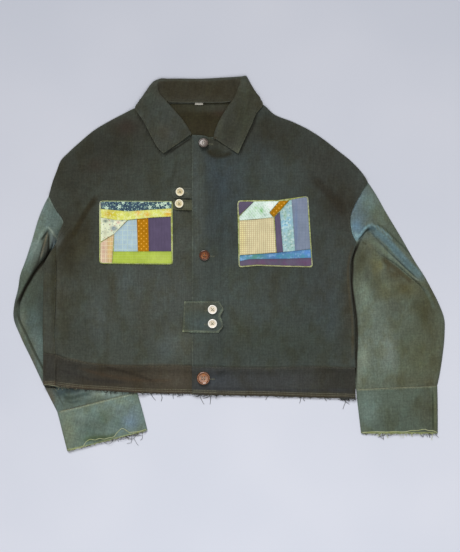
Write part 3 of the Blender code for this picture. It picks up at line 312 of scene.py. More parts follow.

# ------------------------------------------------------------------ dyes, painted shade and painted light
# The ground colour of a piece and the soft blotches on it: x, y, half width, half height, colour, strength.
# Most are the cloth's own uneven colour and wear; the ones marked below are painted shade or painted light.

DYE_AND_PAINTED_LIGHT = {
    "front_left": ("#40443c", [
        (-240, 235, 90, 60, "#2f2f27", 0.9), (-180, 250, 60, 50, "#33342b", 0.6),
        (-318, 165, 60, 70, "#33332a", 0.85), (-330, 30, 44, 60, "#322f21", 0.9),
        (-296, 60, 34, 50, "#333022", 0.85), (-150, -60, 110, 90, "#4a4f4a", 0.85),
        (-230, -90, 60, 70, "#454a43", 0.8), (-335, -80, 20, 120, "#404137", 0.85),
        (-120, 190, 46, 60, "#3f443d", 0.7), (-205, -155, 60, 34, "#41463f", 0.7),
        (-310, -150, 50, 40, "#3a3d35", 0.7), (-96, 60, 26, 80, "#484b43", 0.7),
        (-100, -160, 34, 30, "#535851", 0.75), (-204, 274, 26, 20, "#35271e", 0.6),
        (-262, 196, 30, 16, "#352b21", 0.45), (-200, 170, 40, 40, "#3c3f37", 0.6),
        (-296, 34, 18, 26, "#42402f", 0.5), (-268, -20, 22, 26, "#3a3a2d", 0.5),
        (-206, -40, 14, 40, "#4d5553", 0.6), (-262, -110, 16, 40, "#4d5452", 0.6),
        (-320, 18, 14, 26, "#2e2b1e", 0.6), (-340, 46, 10, 16, "#50544e", 0.85),
        (-341, -30, 5, 60, "#494a3f", 0.6), (-232, -64, 10, 44, "#3e3c2f", 0.5),
        (-180, 236, 12, 30, "#3d3f37", 0.4), (-170, -110, 18, 40, "#403e30", 0.5),
        (-128, -170, 16, 26, "#4b5454", 0.5),
    ]),
    "front_right": ("#3c423d", [
        (-20, 160, 50, 80, "#3b4448", 0.9), (-15, 70, 50, 60, "#3a4140", 0.8),
        (20, -60, 80, 80, "#444b46", 0.8), (180, 200, 90, 60, "#36362f", 0.85),
        (225, 115, 46, 60, "#302d25", 0.85), (80, 262, 70, 44, "#323127", 0.85),
        # (-24, 240) darkens the placket between the collar leaves and beside the top button: partly the
        # cloth's olive, partly painted shade.
        (-24, 240, 36, 12, "#302f23", 0.8), (100, 175, 60, 44, "#414844", 0.8),
        (190, -50, 50, 80, "#3b3f3d", 0.7), (238, -90, 12, 150, "#3a372b", 0.7),
        (120, -158, 120, 34, "#3a4038", 0.8), (-62, 90, 14, 160, "#4c524c", 0.85),
        (-37, 247, 13, 10, "#35362b", 0.9), (60, -85, 50, 40, "#434a46", 0.6),
        # (-24, 224) is painted shadow under the right collar leaf; (-6, 234) is painted light that thins the
        # shadow the leaf casts.
        (-24, 224, 22, 9, "#2b2919", 0.9), (-6, 234, 13, 9, "#484a40", 0.85),
        (-62, -160, 13, 50, "#454b45", 0.8), (226, -150, 18, 50, "#35362e", 0.5),
        (205, 25, 30, 60, "#3f4440", 0.7), (60, 220, 26, 30, "#3d4446", 0.4),
        (20, -130, 18, 40, "#3f4130", 0.5), (90, -40, 20, 40, "#3a3a30", 0.45),
        (200, -110, 20, 40, "#404a4c", 0.45), (150, -180, 40, 18, "#363b34", 0.5),
    ]),
    "band_left": ("#3a362c", [
        (-200, -225, 90, 24, "#3b3428", 0.8), (-320, -215, 50, 30, "#33322d", 0.9),
        (-110, -230, 50, 30, "#494338", 0.85), (-250, -236, 40, 12, "#302c25", 0.6),
    ]),
    "band_right": ("#383832", [
        (-20, -235, 60, 30, "#3c4044", 0.9), (90, -235, 90, 24, "#3a3c3c", 0.8),
        (225, -235, 44, 40, "#2e2d27", 0.9),
    ]),
    "back": ("#33301f", [
        (-50, 290, 110, 24, "#2f2b18", 0.8), (-70, 270, 70, 20, "#312b1a", 0.7),
        (-30, 312, 70, 8, "#40433a", 0.7), (-10, 300, 24, 8, "#3a2a22", 0.6),
        (-362, -20, 18, 60, "#43453b", 0.95), (-362, -110, 18, 70, "#41443b", 0.95),
        (-350, -50, 5, 70, "#36372a", 0.9), (-359, -160, 18, 26, "#44463e", 0.9),
    ]),
    "band_back": ("#38352c", [
        (-359, -215, 20, 40, "#33322d", 0.95),
    ]),
    "collar": ("#3e4038", [
        (-140, 290, 40, 50, "#414640", 0.7), (-112, 250, 26, 22, "#42453c", 0.6),
        (-60, 346, 100, 18, "#403e30", 0.9), (34, 300, 26, 34, "#3c3d2f", 0.9),
        (30, 280, 10, 24, "#404334", 0.6), (-116, 258, 12, 10, "#454b48", 0.6),
        (-160, 326, 12, 24, "#3c4238", 0.5), (4, 262, 20, 24, "#37372a", 0.8),
        # (-4, 243) darkens the right leaf's lower edge: painted shade.
        (20, 226, 10, 8, "#575a4a", 0.85), (-4, 243, 14, 6, "#35342a", 0.6),
        (26, 246, 10, 16, "#45483a", 0.6), (-18, 274, 6, 26, "#464839", 0.6),
        (56, 326, 16, 34, "#3c3b2e", 0.6), (-130, 262, 18, 16, "#464031", 0.5),
        (30, 340, 12, 30, "#454a3e", 0.5),
    ]),
    "sleeve_left": ("#5a6861", [
        # The blotches round y = -260 lie under the hem: the dark ones are painted shadow of the hem, the
        # pale one painted light that thins that shadow.
        (-318, -265, 14, 7, "#424b47", 0.6), (-286, -261, 14, 5, "#4d5d5b", 0.6),
        (-266, -269, 10, 4, "#6b7b74", 0.6), (-372, 92, 24, 50, "#66756f", 0.9),
        (-392, 36, 18, 50, "#73827a", 0.9), (-351, 44, 7, 16, "#69767a", 0.95),
        (-378, -14, 13, 26, "#434236", 0.85), (-380, -34, 13, 28, "#424338", 0.85),
        (-366, 30, 7, 28, "#454237", 0.8), (-376, -8, 20, 28, "#3f4036", 0.95),
        (-388, -60, 30, 40, "#444b40", 0.98), (-400, -84, 18, 20, "#40463a", 0.7),
        (-392, -122, 20, 26, "#4a5855", 0.85), (-376, -100, 9, 60, "#3a413b", 0.8),
        (-427, -90, 8, 34, "#3f4238", 0.9), (-384, -168, 16, 40, "#5d6c67", 0.7),
        (-414, -140, 9, 50, "#636859", 0.9), (-392, -205, 9, 50, "#5d5e50", 0.9),
        (-362, -256, 13, 50, "#5d5a48", 0.95), (-356, -264, 9, 18, "#605a4c", 0.9),
        # Under the hem again: (-310, -262) and (-330, -252) are painted shadow, (-240, -254) is painted
        # light over the hem's cast shadow.
        (-310, -262, 44, 14, "#4e5b57", 0.8), (-240, -254, 52, 11, "#9aaaa1", 0.95),
        (-330, -252, 34, 10, "#3c4a4e", 0.7),
    ]),
    "cuff_left": ("#64746b", [
        (-322, -335, 20, 50, "#6b735f", 0.9), (-276, -330, 18, 22, "#526057", 0.8),
        (-205, -305, 30, 30, "#6b7c80", 0.9), (-240, -282, 40, 12, "#6f817c", 0.8),
        (-262, -350, 30, 10, "#4c5a44", 0.8), (-252, -312, 10, 16, "#4f6152", 0.6),
        (-222, -316, 12, 14, "#50624f", 0.5), (-196, -318, 14, 14, "#667b94", 0.35),
        (-296, -306, 12, 12, "#76857a", 0.6), (-214, -276, 24, 8, "#76877c", 0.7),
        # (-303, -317) is painted shade in a fold of the cuff.
        (-303, -317, 9, 7, "#566057", 0.6), (-264, -325, 16, 9, "#4f584d", 0.6),
    ]),
    "sleeve_right": ("#5a6255", [
        (262, 118, 26, 40, "#60727a", 0.9), (254, 73, 14, 17, "#668395", 0.9),
        (300, 110, 22, 30, "#626e63", 0.9), (276, 122, 14, 20, "#657872", 0.7),
        (334, 58, 20, 40, "#525a4c", 0.9), (282, 34, 12, 16, "#64695b", 0.85),
        (267, 12, 14, 26, "#47462f", 0.85), (256, 0, 12, 40, "#474736", 0.6),
        # (255, 54) is a painted highlight on the armhole's lower edge.
        (264, -12, 14, 20, "#484935", 0.75), (255, 54, 7, 9, "#86a6ab", 0.8),
        (294, -14, 10, 26, "#676950", 0.8), (303, -4, 6, 11, "#6f6b40", 0.6),
        (311, 7, 6, 9, "#43412d", 0.7), (318, -7, 6, 12, "#463f2a", 0.8),
        # (280, 68) is painted shade at the fold's bend by the armpit.
        (332, -22, 20, 12, "#453f29", 0.85), (280, 68, 8, 5, "#33454a", 0.8),
        (290, 4, 10, 14, "#5d5c3f", 0.6), (392, -82, 20, 28, "#42432d", 0.75),
        (352, -50, 46, 22, "#525037", 0.9), (255, -44, 10, 20, "#5d6452", 0.7),
        (272, -66, 11, 40, "#717c6b", 0.85), (292, -50, 9, 26, "#4e5447", 0.8),
        (276, -24, 8, 16, "#45463a", 0.7), (312, -50, 12, 26, "#636751", 0.7),
        (300, -96, 22, 30, "#5f675b", 0.6), (330, -90, 14, 24, "#4c4f43", 0.7),
        (282, -140, 28, 60, "#656f64", 0.8), (320, -176, 22, 40, "#78837a", 0.85),
        (270, -192, 12, 34, "#7e8877", 0.85), (352, -160, 22, 50, "#50574a", 0.8),
        (396, -100, 26, 50, "#464734", 0.9), (380, -190, 40, 60, "#52553f", 0.85),
        (412, -150, 18, 70, "#4d4f3d", 0.8), (258, -214, 7, 34, "#737b6c", 0.8),
        (296, -212, 36, 18, "#626d61", 0.7), (286, -100, 8, 30, "#6c776b", 0.5),
        (360, -236, 50, 14, "#515340", 0.7), (404, -240, 20, 14, "#4c4b39", 0.7),
    ]),
    "cuff_right": ("#515b4f", [
        (278, -294, 24, 50, "#65746b", 0.9), (396, -296, 30, 50, "#484b3c", 0.9),
        (330, -322, 50, 18, "#4b554a", 0.7), (412, -296, 6, 60, "#5a5f47", 0.8),
    ]),
    "pocket_left": ("#a3ad5c", [
        (-186, 124, 80, 4, "#9cb088", 0.9), (-258, 80, 3, 40, "#d3dca2", 0.9),
        (-258, 116, 4, 10, "#a7aab2", 0.9), (-186, 0, 80, 4, "#b2c455", 0.9),
    ]),
    "pocket_right": ("#939a4e", [
        (90, -6, 80, 3, "#cdc89a", 0.95), (164, 60, 4, 50, "#a3b06a", 0.8),
        (19, 118, 6, 16, "#adae9a", 0.9), (157, 124, 8, 14, "#8f97aa", 0.9),
        (168, 10, 4, 24, "#8d9390", 0.8), (18, 4, 4, 16, "#a9b19a", 0.8),
    ]),
    "patch_left_navy_floral": ("#30455d", [
        (-252, 117, 8, 10, "#5b6a73", 0.8), (-150, 114, 12, 8, "#3b5a5c", 0.6),
    ]),
    "patch_left_yellow_floral": ("#e3e777", [
        (-240, 99, 11, 7, "#c99c00", 1.0), (-226, 97, 12, 9, "#cfc52c", 0.8),
        (-200, 96, 8, 6, "#ccd060", 0.6), (-182, 101, 6, 6, "#eeb262", 0.9),
        (-164, 98, 7, 5, "#f2b44a", 0.9), (-121, 100, 9, 8, "#e2ab3a", 1.0),
    ]),
    "patch_left_white_floral": ("#eef3d0", [
        (-230, 70, 6.4, 5.6, "#47627e", 1.0), (-229.2, 70, 2.6, 2.2, "#b5c4c0", 0.9),
        (-247, 85, 6, 3.6, "#50635d", 0.9), (-221, 82, 4, 3.2, "#d9a394", 0.8),
        (-233, 85, 4, 2.2, "#7d9196", 0.7), (-247, 62, 4, 7, "#b4b498", 0.6),
        (-214, 86, 4, 3, "#8b9b90", 0.6),
    ]),
    "patch_left_blue_check": ("#b0c7cd", []),
    "patch_left_orange_dots": ("#b27700", []),
    "patch_left_plum": ("#5c516a", []),
    "patch_left_lime": ("#afc348", [
        (-140, 10, 26, 12, "#bccb62", 0.6),
    ]),
    "patch_left_pink_stripe": ("#d9c2a4", [
        (-237, 26, 6, 46, "#dcbb5c", 0.95), (-250, 30, 6, 30, "#d8b49c", 0.6),
    ]),
    "patch_right_purple_corner": ("#60566c", []),
    "patch_right_leaf_print": ("#d3e8da", [
        (65, 106, 4.4, 6.2, "#5cb548", 1.0), (54, 111, 4.5, 3, "#9ccf86", 0.8),
        (44, 100, 12, 8, "#bcdcc0", 0.7), (84, 114, 14, 12, "#eef2ee", 0.9),
        (72, 97, 4, 2.5, "#7fa38c", 0.8),
    ]),
    "patch_right_orange_dots": ("#ae7700", []),
    "patch_right_beige_check": ("#e4dcae", [
        (26, 50, 8, 40, "#e2d78a", 0.6),
    ]),
    "patch_right_purple_strip": ("#665c72", []),
    "patch_right_aqua_floral": ("#9dc0c4", [
        (116, 84, 12, 14, "#8cbad2", 0.85), (110, 78, 5, 8, "#6faed2", 0.8),
        (122, 56, 5, 16, "#86aa9b", 0.7), (112, 96, 4, 9, "#a9c48f", 0.6),
        (124, 30, 8, 8, "#9dbfae", 0.6),
    ]),
    "patch_right_lavender": ("#858fa0", [
        (148, 118, 14, 14, "#8c90a6", 0.6), (134, 70, 3.5, 50, "#5f7ba4", 0.6),
    ]),
    "patch_right_blue_batik": ("#5b88b4", [
        (54, 13, 18, 8, "#5a9382", 0.95), (96, 15, 12, 6, "#4670ae", 0.8), (30, 10, 8, 6, "#6c9cb4", 0.7),
        (158, 20, 10, 8, "#5d8ed0", 0.8),
    ]),
    "patch_right_purple_foot": ("#62586c", [
        (60, 0, 16, 5, "#6f5266", 0.7), (150, 2, 16, 6, "#6a4868", 0.6),
    ]),
    "tab_upper_1": ("#454942", [
        (-76, 146, 14, 8, "#4a4f48", 0.8), (-80, 136, 12, 4, "#4f5247", 0.8),
    ]),
    "tab_upper_2": ("#505242", [
        (-82, 114, 12, 5, "#5a5e4d", 0.8),
    ]),
    "tab_lower": ("#464e46", [
        (-56, -86, 40, 10, "#4a4b40", 0.8), (-50, -120, 34, 16, "#434c4b", 0.8),
        (-89, -77, 2.4, 2.4, "#8f967f", 0.9), (-92, -135, 2.4, 2.4, "#a1a78c", 0.9),
    ]),
}


# Narrow lines of colour: the line, half its width, colour, strength. Most dark lines along creases and
# folds, under edges and in gaps are painted shade and painted shadow, and most light lines along ridges are
# painted highlights; the rest are the colour of seams, raw edges and streaks in the cloth.

DYE_AND_PAINTED_LIGHT_LINES = {
    # Left sleeve: the dark lines are painted shade in its folds and creases and painted shadow under the
    # hem's edge; the light ones are painted highlights on the fold's ridges and along the armhole seam.
    "sleeve_left": [
        ([(-334, -262), (-322, -269), (-306, -267), (-294, -262), (-276, -261)], 3.4, "#36433f", 0.7),
        ([(-328, -273), (-314, -278), (-298, -273)], 2.2, "#3f4c48", 0.6),
        ([(-346, 31.5), (-351, 28), (-356, 24), (-363, 14), (-374, 0),
          (-386, -14), (-397, -31), (-408, -51), (-418, -72), (-424, -86)], 3.5, "#1a160b", 0.97),
        ([(-360.5, 60), (-360, 44), (-361, 28), (-366, 8)], 2.2, "#2a2920", 0.92),
        ([(-361, 66), (-368, 57), (-375, 47)], 1.6, "#20241b", 0.97),
        ([(-369, 45), (-374, 28), (-378, 12), (-382, 0)], 1.3, "#32322a", 0.85),
        ([(-362.5, 61), (-366.5, 44), (-370.5, 28), (-375, 12)], 1.5, "#6d6756", 0.8),
        ([(-366, 70), (-361, 72), (-356, 67), (-350, 58), (-343, 48)], 1.3, "#93a096", 0.8),
        ([(-366, 72), (-375, 60), (-382, 42), (-389, 20)], 2.2, "#7d8b82", 0.5),
        ([(-361, 132), (-351, 117), (-341, 99), (-331, 81), (-336, 68), (-341, 54)], 1.7, "#87958d", 0.6),
        ([(-356, 77), (-351, 74)], 1.6, "#3c463e", 0.7),
        ([(-425, -85), (-421, -107), (-405, -143), (-385, -185), (-362, -229)], 2.0, "#363b2f", 0.8),
        ([(-350, -250), (-341, -265), (-331, -284)], 1.4, "#3d443b", 0.6),
        ([(-374, -245), (-366, -246.6), (-356, -247.4), (-344, -248.6)], 1.5, "#100f0a", 0.97),
        ([(-345, -262), (-330, -256), (-300, -254)], 5.0, "#2c3638", 0.6),
    ],
    # Right sleeve: the first line is painted shadow in the gap under the body's right edge; the other dark
    # lines are painted shade under the fold's lips, the brown one of half width 4.6 among them; the narrow
    # light lines are painted highlights on its ridges and the armhole's edge; the other wide bands give the
    # fold its colours.
    "sleeve_right": [
        ([(268, 56), (263, 48), (256, 33), (249, 14), (247, -14), (246, -40),
          (250, -74), (255, -113), (256, -157), (254, -205), (254, -245)], 2.4, "#150f07", 0.97),
        ([(276, 58), (288, 44), (300, 31), (314, 15)], 8.0, "#5d675d", 0.7),
        ([(286, 68), (300, 58), (318, 42), (336, 22),
          (354, 2), (370, -14), (384, -28)], 7.0, "#5d757a", 0.88),
        ([(256, 60), (264, 67), (273, 75)], 2.4, "#4d6675", 0.6),
        ([(284, 47), (300, 34), (318, 16), (336, -1), (354, -18), (370, -32)], 3.6, "#667364", 0.8),
        ([(258, 48), (266, 56), (273, 64), (282, 71)], 1.5, "#1e2825", 0.95),
        ([(278, 71), (286, 72), (294, 68)], 3.0, "#3a5058", 0.8),
        ([(284, 68), (288, 60), (294, 50), (308, 35),
          (329, 14), (344, 0), (360, -15), (376, -30)], 1.2, "#364648", 0.75),
        ([(291, 50), (306, 33), (327, 12), (342, -2), (358, -17), (376, -33)], 1.4, "#6f796b", 0.5),
        ([(350, -14), (364, -25), (380, -34)], 1.3, "#7c877d", 0.5),
        ([(253, 46), (262, 57), (271, 69), (279, 76), (287, 77)], 2.2, "#7b9da6", 0.65),
        ([(287, 77), (298, 72.5), (312, 62), (326, 48)], 1.7, "#718e94", 0.6),
        ([(289, 81), (303, 74.5), (316, 65), (333, 48),
          (348, 34), (363, 18), (379, -3)], 1.4, "#333c30", 0.8),
        ([(309, 9), (322, -2), (336, -12), (350, -24), (366, -38)], 4.6, "#433d28", 0.75),
        ([(243, 80), (245, 62), (250, 50)], 2.4, "#7fa3ac", 0.6),
        ([(262, 134), (250, 112), (244, 96)], 2.0, "#7d9098", 0.5),
        ([(266, 44), (274, 38)], 1.8, "#3a3a2a", 0.6),
        ([(386, -46), (398, -60), (410, -90)], 3.4, "#5a665c", 0.45),
    ],
    "cuff_left": [
        ([(-290, -354), (-270, -349), (-240, -347), (-226, -341)], 4.0, "#46543a", 0.7),
        ([(-323, -374), (-270, -362), (-220, -349), (-164, -334)], 2.4, "#8b9160", 0.8),
        ([(-341, -299), (-290, -286), (-240, -273), (-186, -260)], 1.8, "#869487", 0.6),
    ],
    "cuff_right": [
        ([(265, -339), (330, -339), (417, -339)], 2.2, "#868d5a", 0.7),
        ([(407, -256), (407.5, -300), (408, -334)], 2.0, "#333a2b", 0.75),
        ([(258, -254), (320, -248), (415, -247)], 1.6, "#6d7765", 0.6),
    ],
    "front_left": [
        ([(-344.5, 10), (-345, -23), (-346, -73), (-348, -130)], 0.9, "#2a271e", 0.6),
        # This line and the one of half width 7 below are painted shade in the drag folds from the left
        # armpit.
        ([(-314, 50), (-298, 82), (-280, 112), (-264, 134)], 5.5, "#2a2411", 0.75),
        # Painted shadow along the left collar leaf's outer and front edges.
        ([(-187, 304), (-169, 276), (-151, 245), (-134, 216)], 1.8, "#1d1b14", 0.85),
        ([(-131, 215.5), (-104, 232), (-74, 251)], 2.4, "#191710", 0.9),
        ([(-338, 20), (-326, 44), (-308, 66)], 7.0, "#2c2716", 0.6),
        ([(-329, -187), (-292, -196), (-264, -200), (-194, -203), (-82, -203)], 1.4, "#5b5343", 0.6),
        # Painted shade along a soft pleat from the collar's tip down to the tabs.
        ([(-104, 208), (-112, 176), (-118, 150)], 3.0, "#2f322b", 0.5),
        # Painted shadow under the upper tabs' ends and in the slit between them.
        ([(-104, 106.5), (-90, 105), (-74, 103.6)], 1.6, "#191a14", 0.8),
        ([(-89, 128.6), (-76, 128.4)], 2.0, "#14140f", 0.9),
    ],
    "front_right": [
        # A painted highlight on the ridge of the right side seam.
        ([(247, 34), (239, 5), (238, -27), (242, -76), (246, -113), (247, -190)], 2.2, "#4a4433", 0.6),
        # Painted shadow along the right collar leaf's outer edge.
        ([(56, 298), (48, 275), (35, 250), (21, 216.5)], 2.2, "#1c1a12", 0.85),
        # Painted shadow in the gap between the body's right edge and the sleeve.
        ([(253, 34), (244.5, 5), (243.5, -27), (247.5, -76),
          (251.5, -113), (252.5, -157), (252.5, -208)], 1.2, "#17120a", 0.9),
        # Painted shade under the right collar leaf.
        ([(-42, 228), (-36, 219), (-22, 214), (-6, 217), (6, 221)], 4.6, "#272312", 0.8),
        # Painted shade in the drag fold towards the right armhole.
        ([(236, 96), (224, 110), (200, 140), (168, 170)], 9.0, "#2b261b", 0.6),
        ([(-74, -204), (2, -206), (76, -207), (166, -205), (250, -207)], 1.4, "#4f5146", 0.5),
        ([(-73, 250), (-73, 0), (-73, -204)], 1.4, "#4d534c", 0.5),
    ],
    "band_left": [
        ([(-346, -241), (-307, -246), (-235, -251), (-174, -255), (-72, -257)], 4.6, "#4b4234", 0.75),
        ([(-346, -245), (-307, -250), (-235, -255), (-174, -259), (-72, -261)], 2.2, "#2c2620", 0.7),
        ([(-300, -208), (-250, -222), (-190, -232), (-110, -234)], 3.6, "#443728", 0.45),
        ([(-250, -206), (-200, -218), (-150, -236)], 3.0, "#2a241b", 0.7),
        ([(-340, -212), (-280, -230), (-210, -238)], 3.0, "#2b2824", 0.6),
    ],
    "band_back": [
        ([(-380, -237), (-358, -238.5), (-340, -240)], 4.0, "#4b4234", 0.8),
    ],
    "band_right": [
        ([(-74, -258), (2, -260), (76, -261), (162, -264), (253, -266)], 4.6, "#463f31", 0.75),
        ([(-74, -262), (2, -264), (76, -265), (162, -268), (253, -270)], 2.2, "#27231c", 0.7),
        ([(-74, -250), (20, -251), (120, -253), (250, -254)], 3.0, "#2c2d31", 0.5),
    ],
    "tab_lower": [
        ([(-92, -135), (-56, -136), (-22, -136), (-13, -128)], 2.2, "#667062", 0.85),
        ([(-90, -77), (-56, -76), (-21, -76), (-12, -88)], 1.8, "#5f695c", 0.8),
        ([(-92, -136), (-89, -77)], 1.6, "#535c4f", 0.7),
        ([(-13, -90), (-19, -106), (-13, -119)], 2.0, "#6a7567", 0.8),
    ],
}


# ================================================================== lines and grids

def linear(colour):
    """A colour written as sRGB hex, as linear red, green, blue and full alpha."""
    parts = [int(colour[k:k + 2], 16) / 255 for k in (1, 3, 5)]
    return tuple(c / 12.92 if c <= 0.04045 else ((c + 0.055) / 1.055) ** 2.4 for c in parts) + (1.0,)


def weights(t):
    """How much each end of a smooth step counts at a share t of the way, and how much each end's slope."""
    rise = 3 * t ** 2 - 2 * t ** 3
    return 1 - rise, rise, t ** 3 - 2 * t ** 2 + t, t ** 3 - t ** 2


def smooth_line(points, step=2.0):
    """A smooth line through all the given points, in any number of columns."""
    p = np.array(points, float)
    gaps = np.maximum(np.linalg.norm(np.diff(p[:, :2], axis=0), axis=1), 0.5)[:, None]
    slopes = np.diff(p, axis=0) / gaps
    inner = (slopes[:-1] * gaps[1:] + slopes[1:] * gaps[:-1]) / (gaps[:-1] + gaps[1:])
    tangents = np.vstack([slopes[:1], inner, slopes[-1:]])
    parts = []
    for k, gap in enumerate(gaps[:, 0]):
        t = np.linspace(0, 1, max(2, math.ceil(gap / step)), endpoint=False)[:, None]
        first, last, leave, arrive = weights(t)
        parts.append(p[k] * first + p[k + 1] * last + gap * (tangents[k] * leave + tangents[k + 1] * arrive))
    return np.vstack(parts + [p[-1:]])


def joined(*lines):
    """Several lines end to end, each smooth in itself, with their corners kept."""
    parts = [smooth_line(line) for line in lines]
    return np.vstack([parts[0]] + [part[1:] for part in parts[1:]])


def reach_of(line):
    """How far along a line each of its points lies."""
    steps = np.linalg.norm(np.diff(np.asarray(line, float)[:, :2], axis=0), axis=1)
    return np.concatenate([[0.0], np.cumsum(steps)])


def along(line, where):
    """The points of a line at the given shares of its length."""
    points = np.asarray(line, float)
    reach = reach_of(points)
    return np.column_stack([np.interp(where, reach / reach[-1], points[:, k])
                            for k in range(points.shape[1])])


def spaced(length, cell, near=(), keep=()):
    """Shares from 0 to 1: even cells, some closer ones at both ends, and the shares to keep exactly."""
    even = np.linspace(0, 1, max(2, round(length / cell)) + 1)
    extra = [e / length for e in near] + [1 - e / length for e in near] + list(keep)
    found = sorted(set(np.round(even, 6)) | {0.0, 1.0})
    for share in extra:
        found = [s for s in found if abs(s - share) > 0.35 * cell / length or s in (0.0, 1.0)] + [share]
    return np.array(sorted(found))


def panel(bottom, top, left, right, cell=CELL, near=(1.0, 2.4, 4.6), keep_across=(), keep_up=()):
    """A flat grid of points filled in between a panel's four edges (a Coons patch)."""
    bottom, top, left, right = (np.asarray(line, float)[:, :2] for line in (bottom, top, left, right))
    width = max(reach_of(bottom)[-1], reach_of(top)[-1])
    length = max(reach_of(left)[-1], reach_of(right)[-1])
    across = spaced(width, cell, near, keep_across)
    up = spaced(length, cell, near, keep_up)
    low, high = along(bottom, across), along(top, across)
    first, last = along(left, up), along(right, up)
    u, v = across[None, :, None], up[:, None, None]
    edges = (1 - v) * low[None] + v * high[None] + (1 - u) * first[:, None] + u * last[:, None]
    corners = ((1 - u) * (1 - v) * low[0] + u * (1 - v) * low[-1]
               + (1 - u) * v * high[0] + u * v * high[-1])
    return edges - corners


def strip(lower, upper):
    """A flat grid between a lower and an upper line, both from left to right."""
    return panel(lower, upper, [lower[0], upper[0]], [lower[-1], upper[-1]], SMALL_CELL, near=(0.7,))


def edge_distance(grid, sides):
    """How far each point of a grid lies from the named sides of its piece."""
    plan = grid[:, :, :2]
    across = np.cumsum(np.linalg.norm(np.diff(plan, axis=1, prepend=plan[:, :1]), axis=2), axis=1)
    up = np.cumsum(np.linalg.norm(np.diff(plan, axis=0, prepend=plan[:1]), axis=2), axis=0)
    reach = {"left": across, "right": across[:, -1:] - across, "bottom": up, "top": up[-1:] - up}
    return np.min([reach[side] for side in sides], axis=0) if sides else np.full(plan.shape[:2], 99.0)


def moved(line, dx=0.0, dy=0.0):
    """A line moved aside in the plane."""
    return [(x + dx, y + dy) for x, y in line]


def beside(spots, line):
    """How far each place lies from a line, how far along it, and on which side."""
    line = smooth_line(line, 6.0)
    reach = reach_of(line)
    best = np.full(spots.shape[:-1], 1e9)
    share, side = np.zeros(best.shape), np.zeros(best.shape)
    for a, b, start in zip(line, line[1:], reach):
        run = b - a
        size = math.hypot(*run)
        t = np.clip(((spots - a) @ run) / size ** 2, 0, 1)
        off = spots - (a + t[..., None] * run)
        gap = np.hypot(off[..., 0], off[..., 1])
        nearer = gap < best
        best = np.where(nearer, gap, best)
        share = np.where(nearer, (start + t * size) / reach[-1], share)
        side = np.where(nearer, run[0] * off[..., 1] - run[1] * off[..., 0], side)
    return best, share, side


def fold_heights(x, y, folds):
    """The height that a piece's creases and folds give it at each place."""
    height = np.zeros(x.shape)
    spots = np.stack([x, y], axis=-1)
    for line, left_slope, right_slope, rise in folds:
        best, share, side = beside(spots, line)
        slope = np.where(side > 0, left_slope, right_slope)
        cross = np.cos(math.pi / 2 * np.clip(best / slope, 0, 1)) ** 2
        uneven = 0.82 + 0.18 * np.sin(share * 9.0 + rise * 5.0)
        height += rise * cross * uneven * np.sin(math.pi * np.clip(share, 0, 1)) ** 0.5
    return height


def crumple(x, y, size, seed):
    """The small uneven waves of washed canvas, about 1 high from mean to crest."""
    draw = np.random.default_rng(seed)
    total = np.zeros(x.shape)
    waves = 9
    for _ in range(waves):
        heading = draw.uniform(0, math.pi)
        span = size * draw.uniform(0.6, 1.6)
        total += np.sin((x * math.cos(heading) + y * math.sin(heading)) * 2 * math.pi / span
                        + draw.uniform(0, 6.28) + 1.3 * np.sin((x + y) / size + draw.uniform(0, 6.28)))
    return total / waves ** 0.5


# ================================================================== laying cloth on cloth

class Pile:
    """The tops of all the cloth laid so far, as heights on a net with a point every millimetre."""

    def __init__(self):
        self.corner = np.array([-460.0, -410.0])
        self.top = np.zeros((820, 930))

    def cover(self, grid, rise, closed=False):
        """Put a laid grid of points on the pile, its upper face this much above them."""
        if closed:
            grid = np.concatenate([grid, grid[:, :1]], axis=1)
        steps = (np.arange(6) + 0.5) / 6
        for v in steps:
            low = grid[:-1] * (1 - v) + grid[1:] * v
            for u in steps:
                spots = (low[:, :-1] * (1 - u) + low[:, 1:] * u).reshape(-1, 3)
                cells = np.round(spots[:, :2] - self.corner).astype(int)
                np.maximum.at(self.top, (cells[:, 1], cells[:, 0]), spots[:, 2] + rise)

    def bridged(self, reach):
        """The heights as cloth bridges them: the highest within reach, then evened out over it."""
        wide = self.top
        for axis in (0, 1):
            wide = np.max([np.roll(wide, k, axis) for k in range(-reach, reach + 1)], axis=0)
        half = max(1, reach // 2)
        for axis in (0, 1, 0, 1):
            sums = np.cumsum(wide, axis=axis)
            wide = (np.roll(sums, -half, axis) - np.roll(sums, half + 1, axis)) / (2 * half + 1)
        return wide

    def under(self, x, y, reach):
        """The height that cloth comes to rest at over each place."""
        wide = self.bridged(reach) if reach else self.top
        column = np.clip(x - self.corner[0], 0, wide.shape[1] - 2)
        row = np.clip(y - self.corner[1], 0, wide.shape[0] - 2)
        j, i = column.astype(int), row.astype(int)
        u, v = column - j, row - i
        return ((wide[i, j] * (1 - u) + wide[i, j + 1] * u) * (1 - v)
                + (wide[i + 1, j] * (1 - u) + wide[i + 1, j + 1] * u) * v)


pile = Pile()


def laid(flat, wall, reach=8, pressed=(), loft=1.6, folds=(), waves=(46, 0.45, 1), base=None):
    """Lay a flat grid on the pile: it bridges what is under it and is pressed down along its seams."""
    x, y = flat[:, :, 0], flat[:, :, 1]
    rest = pile.under(x, y, reach) if base is None else base
    away = edge_distance(flat, pressed)
    free = 1 - np.exp(-away / PRESSED_REACH)
    size, height, seed = waves
    relief = loft + fold_heights(x, y, folds) + height * crumple(x, y, size, seed)
    return np.dstack([x, y, rest + AIR + wall / 2 + np.maximum(relief, 0.0) * free])


# ================================================================== turning grids into cloth

